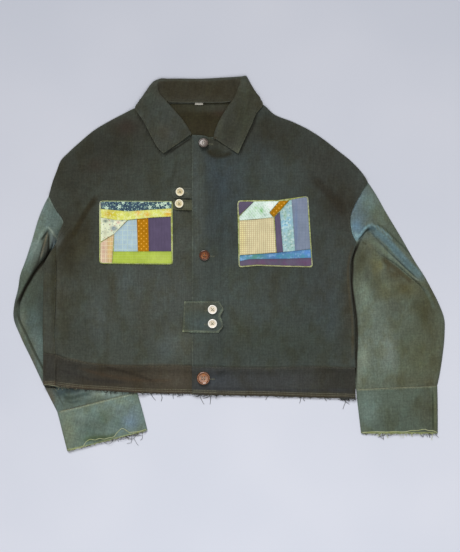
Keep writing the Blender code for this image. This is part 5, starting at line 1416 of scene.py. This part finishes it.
def build_lower_tab():
    """The tab across the placket, with a notched end."""
    flat = panel(*(TAB_LOWER[edge] for edge in ("bottom", "top", "left", "right")), SMALL_CELL, near=(0.7,))
    lay_small("tab_lower", flat, CANVAS, CANVAS_BODY, 4, ALL_ROUND, 0.8)


def lay_front(name, grid, worn):
    """Make a front from its laid grid and put it on the pile."""
    cloth(name + "_cloth", grid, CANVAS, CANVAS_BODY, [name], edge=edge_distance(grid, worn),
          colours=dyed(grid, name))
    pile.cover(grid, CANVAS / 2)


def lay_band(name, hem, seam, seed):
    """The hem band below one front, sewn on over the front's lower edge."""
    flat = panel(smooth_line(hem), smooth_line(seam), [hem[0], seam[0]], [hem[-1], seam[-1]])
    grid = laid(flat, CANVAS, 6, ("top", "left", "right"), 1.3, (), (40, 0.4, seed))
    cloth(name + "_cloth", grid, CANVAS, CANVAS_BODY, [name],
          edge=edge_distance(grid, ("top", "bottom")), colours=dyed(grid, name))
    pile.cover(grid, CANVAS / 2)


def lay_small(name, flat, wall, material, reach, pressed, loft):
    """Lay a small piece on what is under it: a tab, a pocket or a patch."""
    grid = laid(flat, wall, reach, pressed, loft, (), (24, 0.12, 7))
    cloth(name + "_cloth", grid, wall, material, [name], edge=edge_distance(grid, ALL_ROUND),
          colours=dyed(grid, name))
    pile.cover(grid, wall / 2)


def build_pockets():
    """Patch pockets: a ground cloth with its patches sewn on it."""
    for side, lines in POCKETS.items():
        pocket = "pocket_" + side
        lay_small(pocket, strip(*lines), POCKET_CLOTH, POCKET_GROUND,
                  5, ALL_ROUND, 0.9)
        for name, patch in PATCHES[side].items():
            key = name if name in PRINTS else f"{side}_{name}"
            cotton = "quilting_cotton_" + key
            material = bpy.data.materials.get(cotton) or printed_cotton(cotton, PRINTS[key])
            patch_node = f"patch_{side}_{name}"
            lay_small(patch_node, strip(*patch), PATCH_CLOTH, material, 1,
                      ALL_ROUND, 0.5)


def build_tape():
    """A blank loop of tape caught in the neck seam: it runs down, folds over and runs back up."""
    left, right, fold, top = NECK_TAPE
    across = np.linspace(left, right, 9)
    rest = pile.under(across, np.full(9, fold + 2.0), 2).max() + AIR + TAPE_CLOTH / 2
    section = [(top, 0), (fold + 3, 0), (fold + 1, 0.05), (fold, 0.45), (fold + 1, 0.9), (fold + 3, 1.0),
               (top, 1.0)]
    grid = np.array([[(x, y, rest + z) for x in across] for y, z in section])
    cloth("neck_tape_cloth", grid, TAPE_CLOTH, plain_tape("cotton_tape_bleached"), ["neck_tape"])
    pile.cover(grid, TAPE_CLOTH / 2)


def build_collar(sections, inside):
    """The collar settles on the fronts; its leaf behind the neck lies under the back, and its face inside
    the neck is painted dark as shade.
    """
    grid = sections.copy()
    upper = grid[:, :, 2] >= UNDER_LEAF
    rest = pile.under(grid[:, :, 0], grid[:, :, 1], 4) + AIR + COLLAR_CLOTH / 2
    inner = np.linspace(0, 1, grid.shape[1])[None, :]
    lift = fold_heights(grid[:, :, 0], grid[:, :, 1], COLLAR_FOLDS)
    settled = np.maximum(grid[:, :, 2], rest + 0.2) + lift * np.sin(math.pi * inner)
    grid[:, :, 2] = np.where(upper, settled, grid[:, :, 2])
    away = edge_distance(grid, ("right", "top", "bottom"))
    colours = dyed(grid, "collar")
    # The stand's inner face, from the neck seam up to the roll, is painted darker: painted shade inside the
    # neck.
    colours[inside.ravel()] = colours[inside.ravel()] * 0.35 + np.array(linear("#373224")) * 0.65
    cloth("collar_cloth", grid, COLLAR_CLOTH, CANVAS_COLLAR, ["collar"], edge=away,
          colours=colours)
    pile.cover(grid, COLLAR_CLOTH / 2)


# ================================================================== buttons

def turned_disc(name, x, y, base, radius, rim):
    """A button's body: a disc with a rim this wide, a dished middle and a rounded edge."""
    bpy.ops.object.select_all(action="DESELECT")
    bpy.ops.mesh.primitive_cylinder_add(vertices=40, radius=radius * MM, depth=BUTTON_HEIGHT * MM,
                                        location=(x * MM, y * MM, (base + BUTTON_HEIGHT / 2) * MM))
    piece = bpy.context.active_object
    piece.name = name
    bpy.ops.object.transform_apply(location=True, rotation=True, scale=True)
    bpy.ops.object.mode_set(mode="EDIT")
    shape = bmesh.from_edit_mesh(piece.data)
    for face in shape.faces:
        face.select_set(face.normal.z > 0.9)
    bmesh.update_edit_mesh(piece.data)
    bpy.ops.mesh.select_mode(type="FACE")
    bpy.ops.mesh.inset(thickness=radius * rim * MM)
    bpy.ops.mesh.inset(thickness=radius * 0.14 * MM)
    bpy.ops.transform.translate(value=(0, 0, -BUTTON_DISH * MM))
    bpy.ops.mesh.inset(thickness=radius * 0.3 * MM)
    bpy.ops.transform.translate(value=(0, 0, BUTTON_BOSS * MM))
    bpy.ops.mesh.select_all(action="DESELECT")
    shape = bmesh.from_edit_mesh(piece.data)
    for edge in shape.edges:
        on_rim = all(abs(math.hypot(v.co.x - x * MM, v.co.y - y * MM) - radius * MM) < 0.01 * MM
                     for v in edge.verts)
        level = abs(edge.verts[0].co.z - edge.verts[1].co.z) < 1e-7
        edge.select_set(on_rim and level)
    bmesh.update_edit_mesh(piece.data)
    bpy.ops.mesh.select_mode(type="EDGE")
    bpy.ops.mesh.bevel(offset=BUTTON_BEVEL * MM, segments=3, affect="EDGES")
    bpy.ops.object.mode_set(mode="OBJECT")
    return piece


def drill(piece, hole, base, radius):
    """One round hole right through a button."""
    bpy.ops.object.select_all(action="DESELECT")
    bpy.ops.mesh.primitive_cylinder_add(vertices=12, radius=radius * MM, depth=3 * BUTTON_HEIGHT * MM,
                                        location=(hole[0] * MM, hole[1] * MM, base * MM))
    bit = bpy.context.active_object
    cut = piece.modifiers.new("hole", "BOOLEAN")
    cut.operation = "DIFFERENCE"
    cut.object = bit
    bpy.context.view_layer.objects.active = piece
    bpy.ops.object.modifier_apply(modifier=cut.name)
    bpy.data.objects.remove(bit)


def lean_over(tilt, pivot):
    """Tilt the active piece to the north and east round a pivot."""
    bpy.ops.object.mode_set(mode="EDIT")
    bpy.ops.mesh.select_all(action="SELECT")
    for angle, axis in zip((tilt[0], -tilt[1]), "XY"):
        bpy.ops.transform.rotate(value=math.radians(angle), orient_axis=axis, center_override=pivot)
    bpy.ops.object.mode_set(mode="OBJECT")


def thread_button(x, y, top, pairs, lean):
    """The thread that crosses a button's middle from hole to hole."""
    for number, (start, end) in enumerate(pairs):
        start, end = np.array(start), np.array(end)
        line = []
        for t in np.linspace(0, 1, 7):
            px, py = start + (end - start) * t
            rise = top - 0.5 + 1.1 * math.sin(math.pi * t) + 0.3 * number
            line.append((px, py, rise - (py - y) * lean[0] - (px - x) * lean[1]))
        TUBES["button"].append((line, 0.42))


def build_button(name, x, y, diameter, material, slot, pale, tilt=(0, 0)):
    """A turned four-hole button: a rounded rim, a dished middle, and thread through its holes."""
    radius = diameter / 2
    lean = [math.tan(math.radians(angle)) for angle in tilt]
    floor = float(np.max(pile.under(x + np.array([0, 5, -5, 0, 0]), y + np.array([0, 0, 0, 5, -5]), 2)))
    base = floor + 0.25 + radius * math.hypot(*lean)
    piece = turned_disc(name, x, y, base, radius, 0.2 if pale else 0.16)
    gap = diameter * 0.1
    holes = [(x + a * gap, y + b * gap) for a, b in ((-1, -1), (1, -1), (1, 1), (-1, 1))]
    for hole in holes:
        drill(piece, hole, base, diameter * 0.046)
    reach = [math.hypot(v.co.x / MM - x, v.co.y / MM - y) / radius for v in piece.data.vertices]
    piece.data.attributes.new("reach", "FLOAT", "POINT").data.foreach_set("value", reach)
    lean_over(tilt, (x * MM, y * MM, base * MM))
    finish_piece(piece, material, [name.replace("_turned", "")], smooth=32)
    order = ((0, 2), (1, 3)) if pale else ((0, 3), (1, 2))
    thread_button(x, y, base + BUTTON_HEIGHT - 0.85, [(holes[a], holes[b]) for a, b in order], lean)


TUBES = {"button": [], "olive": [], "dark": [], "lime": [], "sand": []}
STITCHES = {"olive": [], "dark": [], "lime": [], "sand": []}


def build_buttons():
    """Three brown buttons down the placket and four pale ones on the tabs."""
    for number, spot in enumerate(BUTTONS_BROWN, 1):
        build_button(f"button_brown_{number}_turned", *spot, HORN_RESINS[number - 1], "brown_button", False,
                     TOP_BUTTON_TILT if number == 1 else (0, 0))
    for number, spot in enumerate(BUTTONS_PALE, 1):
        build_button(f"button_pale_{number}_turned", *spot, SHELL_RESINS[number > 2], "pale_button", True)


# ================================================================== stitches and loose threads

def sew(thread, line, pitch=3.2, length=2.2, smooth=True):
    """A run of topstitches along a line on the cloth."""
    line = smooth_line(line) if smooth else np.array(line, float)
    total = reach_of(line)[-1]
    starts = np.arange(pitch / 2, total - length, pitch)
    STITCHES[thread].append((along(line, starts / total), along(line, (starts + length) / total)))


def build_stitches():
    """Every stitch is a short low ridge of thread on the cloth; each thread's are one mesh."""
    for thread, runs in STITCHES.items():
        a, b = (np.vstack([run[end] for run in runs]) for end in (0, 1))
        middle = (a + b) / 2
        ahead = (b - a) / np.maximum(np.linalg.norm(b - a, axis=1), 1e-6)[:, None]
        aside = np.column_stack([-ahead[:, 1], ahead[:, 0]]) * STITCH_HALF
        rings = []
        for p, size in ((a, 0.5), (middle, 1.0), (b, 0.5)):
            z = pile.under(p[:, 0], p[:, 1], 1) + STITCH_LIFT
            for side, rise in ((-1, -0.25), (1, -0.25), (0.5, 0.3), (-0.5, 0.3)):
                rings.append(np.column_stack([p + aside * side * size, z + rise * size]))
        points = np.stack(rings, axis=1).reshape(-1, 3)
        faces = []
        for k in range(len(a)):
            o = k * 12
            faces += [(o + 3, o + 2, o + 1, o), (o + 8, o + 9, o + 10, o + 11)]
            for ring in (0, 4):
                for side in range(4):
                    p, q = o + ring + side, o + ring + (side + 1) % 4
                    faces.append((p, q, q + 4, p + 4))
        piece = mesh_object(f"stitches_{thread}", points, faces)
        finish_piece(piece, THREADS[thread], smooth=60)


def build_tubes():
    """Loose threads, frays and the threads through the buttons: thin round lines, joined by kind."""
    for thread, lines in TUBES.items():
        points, faces = [], []
        sides = 4
        for line, radius in lines:
            line = np.array(line, float)
            ahead = np.gradient(line, axis=0)
            ahead /= np.maximum(np.linalg.norm(ahead, axis=1), 1e-6)[:, None]
            aside = np.cross(ahead, (0.0, 0.0, 1.0))
            aside /= np.maximum(np.linalg.norm(aside, axis=1), 1e-6)[:, None]
            upward = np.cross(aside, ahead)
            start = len(points)
            for k, spot in enumerate(line):
                for turn in range(sides):
                    angle = 2 * math.pi * turn / sides
                    points.append(spot + radius * (math.cos(angle) * aside[k] + math.sin(angle) * upward[k]))
            for k in range(len(line) - 1):
                for turn in range(sides):
                    p = start + k * sides + turn
                    q = start + k * sides + (turn + 1) % sides
                    faces.append((p, q, q + sides, p + sides))
            faces.append(tuple(start + turn for turn in reversed(range(sides))))
            faces.append(tuple(len(points) - sides + turn for turn in range(sides)))
        piece = mesh_object(f"threads_{thread}", points, faces)
        finish_piece(piece, THREADS[thread], smooth=80)


def fray(thread, line, outward, count, shortest, longest, seed, radius=0.3, curl=0.26):
    """Threads worked loose along a raw edge: they hang out, bend and curl by chance."""
    draw = np.random.default_rng(seed)
    line = smooth_line(line)
    places = along(line, np.sort(draw.uniform(0.004, 0.996, count)))
    heights = pile.under(places[:, 0], places[:, 1], 2)
    for (x, y), z in zip(places, heights):
        heading = math.atan2(outward[1], outward[0]) + draw.normal(0, 0.4)
        length = shortest + (longest - shortest) * draw.uniform(0.0, 1.0) ** 1.8
        steps = 5 if length < 6 else 12
        bend = draw.normal(0, curl) * 6 / steps
        spots = [(x - 1.5 * outward[0], y - 1.5 * outward[1], z - 0.3)]
        for _ in range(steps):
            heading += bend + draw.normal(0, curl * 0.5)
            x += math.cos(heading) * length / steps
            y += math.sin(heading) * length / steps
            z = max(0.4, z - draw.uniform(0.2, 1.0) * 6 / steps)
            spots.append((x, y, z))
        TUBES[thread].append((spots, radius * draw.uniform(0.8, 1.15)))


def hang(thread, spots, top):
    """One long thread hung out, from the cloth's edge down to the surface below."""
    line = smooth_line(spots)
    z = np.maximum(0.5, top * (1 - np.linspace(0, 1.4, len(line))))
    TUBES[thread].append((np.column_stack([line, z]), LONG_THREAD))


def lay_thread(thread, line, radius=0.4, lift=0.3):
    """One thread laid along a line on the cloth."""
    line = smooth_line(line)
    z = pile.under(line[:, 0], line[:, 1], 1) + lift
    TUBES[thread].append((np.column_stack([line, z]), radius))


def sew_body():
    """Topstitching along the seams of the body, the placket, the neck and the collar's edge."""
    for seam in (BAND_SEAM_LEFT, BAND_SEAM_RIGHT):
        sew("olive", moved(seam, 0, -2.4))
        sew("dark", moved(seam, 0, 2.2))
    for rise in (4.8, 8.6):
        sew("sand", [(-369, rise - 243.2), (-347, rise - 244.8)])
        sew("sand", moved(HEM_LEFT, 0, rise))
        sew("sand", moved(HEM_RIGHT, 0, rise))
    for line in ([(-60, 240), (-60, 0), (-60, -202)], moved(SIDE_SEAM_LEFT, -2.2, 0),
                 [(-50, 318.5), (-6, 319.5), (3, 320.5)]):
        sew("dark", line)
    for line in ([(-71.5, 246), (-71.5, 0), (-71.5, -202)],
                 moved(ARMHOLE_LEFT, 3.4, 0),
                 moved(ARMHOLE_RIGHT, -3.4, 1.0),
                 [(-122, 326.6), (-98, 327), (-52, 327), (-6, 328), (3, 329)],
                 [(-81, 249.5), (-104, 233.5), (-129, 226.5)],
                 [(-129, 226.5), (-139, 238), (-151, 257), (-167, 285), (-183, 308)],
                 [(-28, 243), (-7, 230), (15, 225.5)],
                 [(15, 225.5), (23, 240), (34, 258), (45, 283), (53, 304), (67, 320)]):
        sew("olive", line)


def sew_pockets_and_tabs():
    """The bright edging of both pockets, and the stitching round the tabs."""
    for lower, upper in POCKETS.values():
        left = [(spot[0] + 1.6, spot[1]) for spot in (lower[0], upper[0])]
        right = [(spot[0] - 1.4, spot[1]) for spot in (lower[-1], upper[-1])]
        for line in (moved(lower, 0, 1.7), moved(upper, 0, -1.7), left, right):
            sew("lime", line, 2.8, 2.0, smooth=False)
    for thread, shift in (("sand", 3.0), ("olive", 1.2)):
        sew(thread, [(-90 + shift / 3, -134 + shift / 3), (-56, -138 + shift), (-22, -138 + shift),
                     (-11 - shift, -128), (-11 - shift, -120), (-18 - shift, -107), (-10 - shift, -94),
                     (-10 - shift, -88), (-21, -75 - shift), (-56, -75 - shift), (-88, -76 - shift),
                     (-92 + shift, -130)], smooth=False)
    for lower, upper in TABS_UPPER.values():
        sew("olive", moved(lower, 2.0, 2.6), smooth=False)
        sew("olive", moved(upper, 2.0, -2.6), smooth=False)


def sew_cuffs():
    """Two rows of stitches across each cuff's seam, one on each side of it."""
    for cuff in (CUFF_LEFT, CUFF_RIGHT):
        outer, inner = np.array(cuff[0][0]), np.array(cuff[0][3])
        down = unit(np.array(cuff[-1][0]) - outer)
        for thread, shift in (("sand", 2.4), ("olive", -2.4)):
            sew(thread, [tuple(outer + (inner - outer) * t + down * shift) for t in (0.03, 0.5, 0.97)])


def work_buttonholes():
    """A buttonhole beside every button, to the left of those on the lower tab."""
    for x, y, diameter in BUTTONS_BROWN:
        work_buttonhole(x + diameter / 2 - 1.0, y, 11.5)
    for x, y, diameter in BUTTONS_PALE[2:]:
        work_buttonhole(x - diameter / 2 - 8.0, y, 8.5)
    for x, y, diameter in BUTTONS_PALE[:2]:
        work_buttonhole(x + diameter / 2 - 1.0, y, 9.0)


def fray_edges():
    """The raw hem and cuffs: short fluff all along, and some longer threads."""
    hem_left, hem_right = moved(HEM_LEFT, 0, 0.5), moved(HEM_RIGHT, 0, 0.5)
    fray("dark", hem_left, (0.1, -1.0), 230, 1.0, 4.4, 21, 0.34)
    fray("dark", hem_right, (0.0, -1.0), 240, 1.0, 4.4, 22, 0.34)
    fray("dark", hem_left[2:], (0.15, -1.0), 26, 4.0, 11.0, 31, 0.4)
    fray("dark", hem_right, (0.05, -1.0), 26, 3.6, 11.0, 32, 0.4)
    fray("sand", hem_left, (0.1, -1.0), 60, 1.0, 3.0, 23)
    fray("sand", hem_right, (0.0, -1.0), 60, 1.0, 3.0, 24)
    fray("sand", [(-345, -245), (-322, -247), (-300, -250)], (0.6, -0.8), 16, 3.0, 9.0, 33, 0.4)
    fray("dark", [(-300, -251), (-262, -253), (-225, -256)], (-0.5, -0.8), 16, 4.0, 10.0, 34, 0.42)
    fray("dark", [(222, -268), (230, -269), (240, -269)], (0.1, -1.0), 46, 3.0, 9.0, 25, 0.42)
    fray("dark", [(238, -269), (252, -269)], (0.5, -0.9), 14, 4.0, 9.0, 35, 0.38)
    for spots in ([(-156, -260), (-152, -268), (-147, -274)], [(-136, -261), (-134, -268), (-136, -276)],
                  [(-59, -261), (-56, -271), (-50, -282)], [(-38, -262), (-37, -274), (-38, -282)],
                  [(-37, -262), (-43, -268), (-52, -270)], [(142, -267), (143, -275), (141, -280)],
                  [(236, -269), (232, -280), (228, -292)], [(226, -270), (234, -277), (241, -282)]):
        hang("dark", spots, 5.0)
    left_end, right_end = CUFF_LEFT[-1], CUFF_RIGHT[-1]
    for thread, count, seed in (("sand", 50, 26), ("lime", 40, 28), ("dark", 30, 36)):
        fray(thread, [left_end[0], left_end[3]], (0.24, -0.97), count, 1.0, 3.6, seed, 0.34)
        fray(thread, [right_end[3], right_end[0]], (0.0, -1.0), count, 1.0, 4.2, seed + 10, 0.34)
    fray("dark", [(-240, -353), (-205, -345), (-165, -335)], (0.3, -0.95), 22, 7.0, 26.0, 30, 0.32, 0.42)
    fray("sand", [(-236, -352), (-164, -334)], (0.4, -0.9), 14, 6.0, 20.0, 37, 0.34, 0.42)
    fray("dark", [(268, -340), (302, -340), (330, -340)], (0.1, -1.0), 9, 6.0, 17.0, 38, 0.36, 0.4)
    fray("lime", [(268, -340), (340, -340), (416, -340)], (0.1, -1.0), 14, 5.0, 14.0, 39, 0.38, 0.4)
    fray("dark", [(366, -340), (392, -340), (416, -340)], (0.0, -1.0), 9, 6.0, 15.0, 40, 0.36, 0.4)


def lay_loose_threads():
    """Threads that lie along the cuffs, at the hem's left corner, and along the neck and cuff seams."""
    lay_thread("lime", [(-323, -371.5), (-306, -370), (-292, -366), (-286, -357), (-277, -351.5),
                        (-268, -352.8), (-259, -349.8), (-250, -351), (-240, -348.4), (-231, -346.5),
                        (-222, -336), (-213, -330), (-205, -334), (-200, -337.5), (-191, -337),
                        (-178, -335.5), (-166, -331.5)], 0.45)
    lay_thread("lime", [(267, -338), (282, -337), (300, -336.4), (316, -337), (330, -336), (352, -336.4),
                        (364, -334), (378, -333.5), (392, -331.5), (399, -334), (407, -334),
                        (416, -338)], 0.5)
    lay_thread("sand", [(-370, -242.4), (-363, -241.4), (-355, -242.8), (-344, -244.6)], 0.55, 0.2)
    lay_thread("sand", [(-353, -248.5), (-348, -250.5), (-345.5, -255)], 0.45, 0.2)
    lay_thread("sand", [(-341, -296.8), (-262, -277.4), (-186, -258.4)], 0.5, 0.1)
    lay_thread("sand", [(258, -252.4), (330, -249.2), (414, -245.3)], 0.5, 0.1)
    lay_thread("olive", [(-121, 322.6), (-98, 322.0), (-52, 321.8), (-6, 322.8), (3, 323.9)], 0.9, 1.3)
    lay_thread("olive", [(-119, 320.4), (-98, 319.9), (-70, 319.7)], 0.8, 0.7)


def work_buttonhole(x, y, length):
    """A worked buttonhole: two rows of close stitches along its slit."""
    for shift in (-0.9, 0.9):
        level = y - 2.0 + shift
        sew("sand", [(x, level), (x + length / 2, level), (x + length, level)], 1.5, 1.2)


THREADS = {"button": THREAD_SAND, "olive": THREAD_OLIVE, "dark": THREAD_DARK, "lime": THREAD_LIME,
           "sand": THREAD_SAND}


# ================================================================== stage

def add_lamp(light, place, turn):
    """Hang a lamp, turned by these angles in degrees from looking straight down."""
    lamp = bpy.data.objects.new(light.name, light)
    lamp.location = place
    lamp.rotation_euler = [math.radians(angle) for angle in turn]
    bpy.context.scene.collection.objects.link(lamp)


def build_stage():
    """A plain pale floor, soft studio light from the collar's side, and a camera straight above."""
    corners = [(a * FLOOR_HALF, b * FLOOR_HALF, 0) for a, b in ((-1, -1), (1, -1), (1, 1), (-1, 1))]
    floor = mesh_object("floor", corners, [(0, 1, 2, 3)])
    floor.data.materials.append(painted_floor("matt_floor_paint"))
    world = bpy.data.worlds.new("soft_room")
    world.use_nodes = True
    room = world.node_tree.nodes["Background"].inputs
    room["Color"].default_value = ROOM_COLOUR
    room["Strength"].default_value = ROOM_STRENGTH
    bpy.context.scene.world = world
    window = bpy.data.lights.new("window_light", "SUN")
    window.energy = WINDOW_ENERGY
    window.angle = math.radians(WINDOW_ANGLE)
    add_lamp(window, (0, 0, 3), WINDOW_TURN)
    fill = bpy.data.lights.new("ceiling_light", "AREA")
    fill.size = 1.1
    fill.energy = 10.0
    add_lamp(fill, (0.05, -0.8, 1.45), (0, 0, 0))
    lens = bpy.data.cameras.new("overhead_camera")
    lens.lens = LENS
    camera = bpy.data.objects.new("overhead_camera", lens)
    camera.location = (0.002, -0.025, FRAME_HEIGHT * lens.lens / lens.sensor_width + 0.004)
    bpy.context.scene.collection.objects.link(camera)
    bpy.context.scene.camera = camera
    bpy.context.scene.view_settings.view_transform = "Standard"


build_stage()
build_arms()
collar_flat, collar_inside = collar_sections()
back_laid, band_laid = lay_back(collar_flat)
build_left_front()
build_back(back_laid, band_laid)
build_upper_tabs()
build_right_front()
build_pockets()
build_lower_tab()
build_tape()
build_collar(collar_flat, collar_inside)
build_buttons()
sew_body()
sew_pockets_and_tabs()
sew_cuffs()
work_buttonholes()
fray_edges()
lay_loose_threads()
build_stitches()
build_tubes()
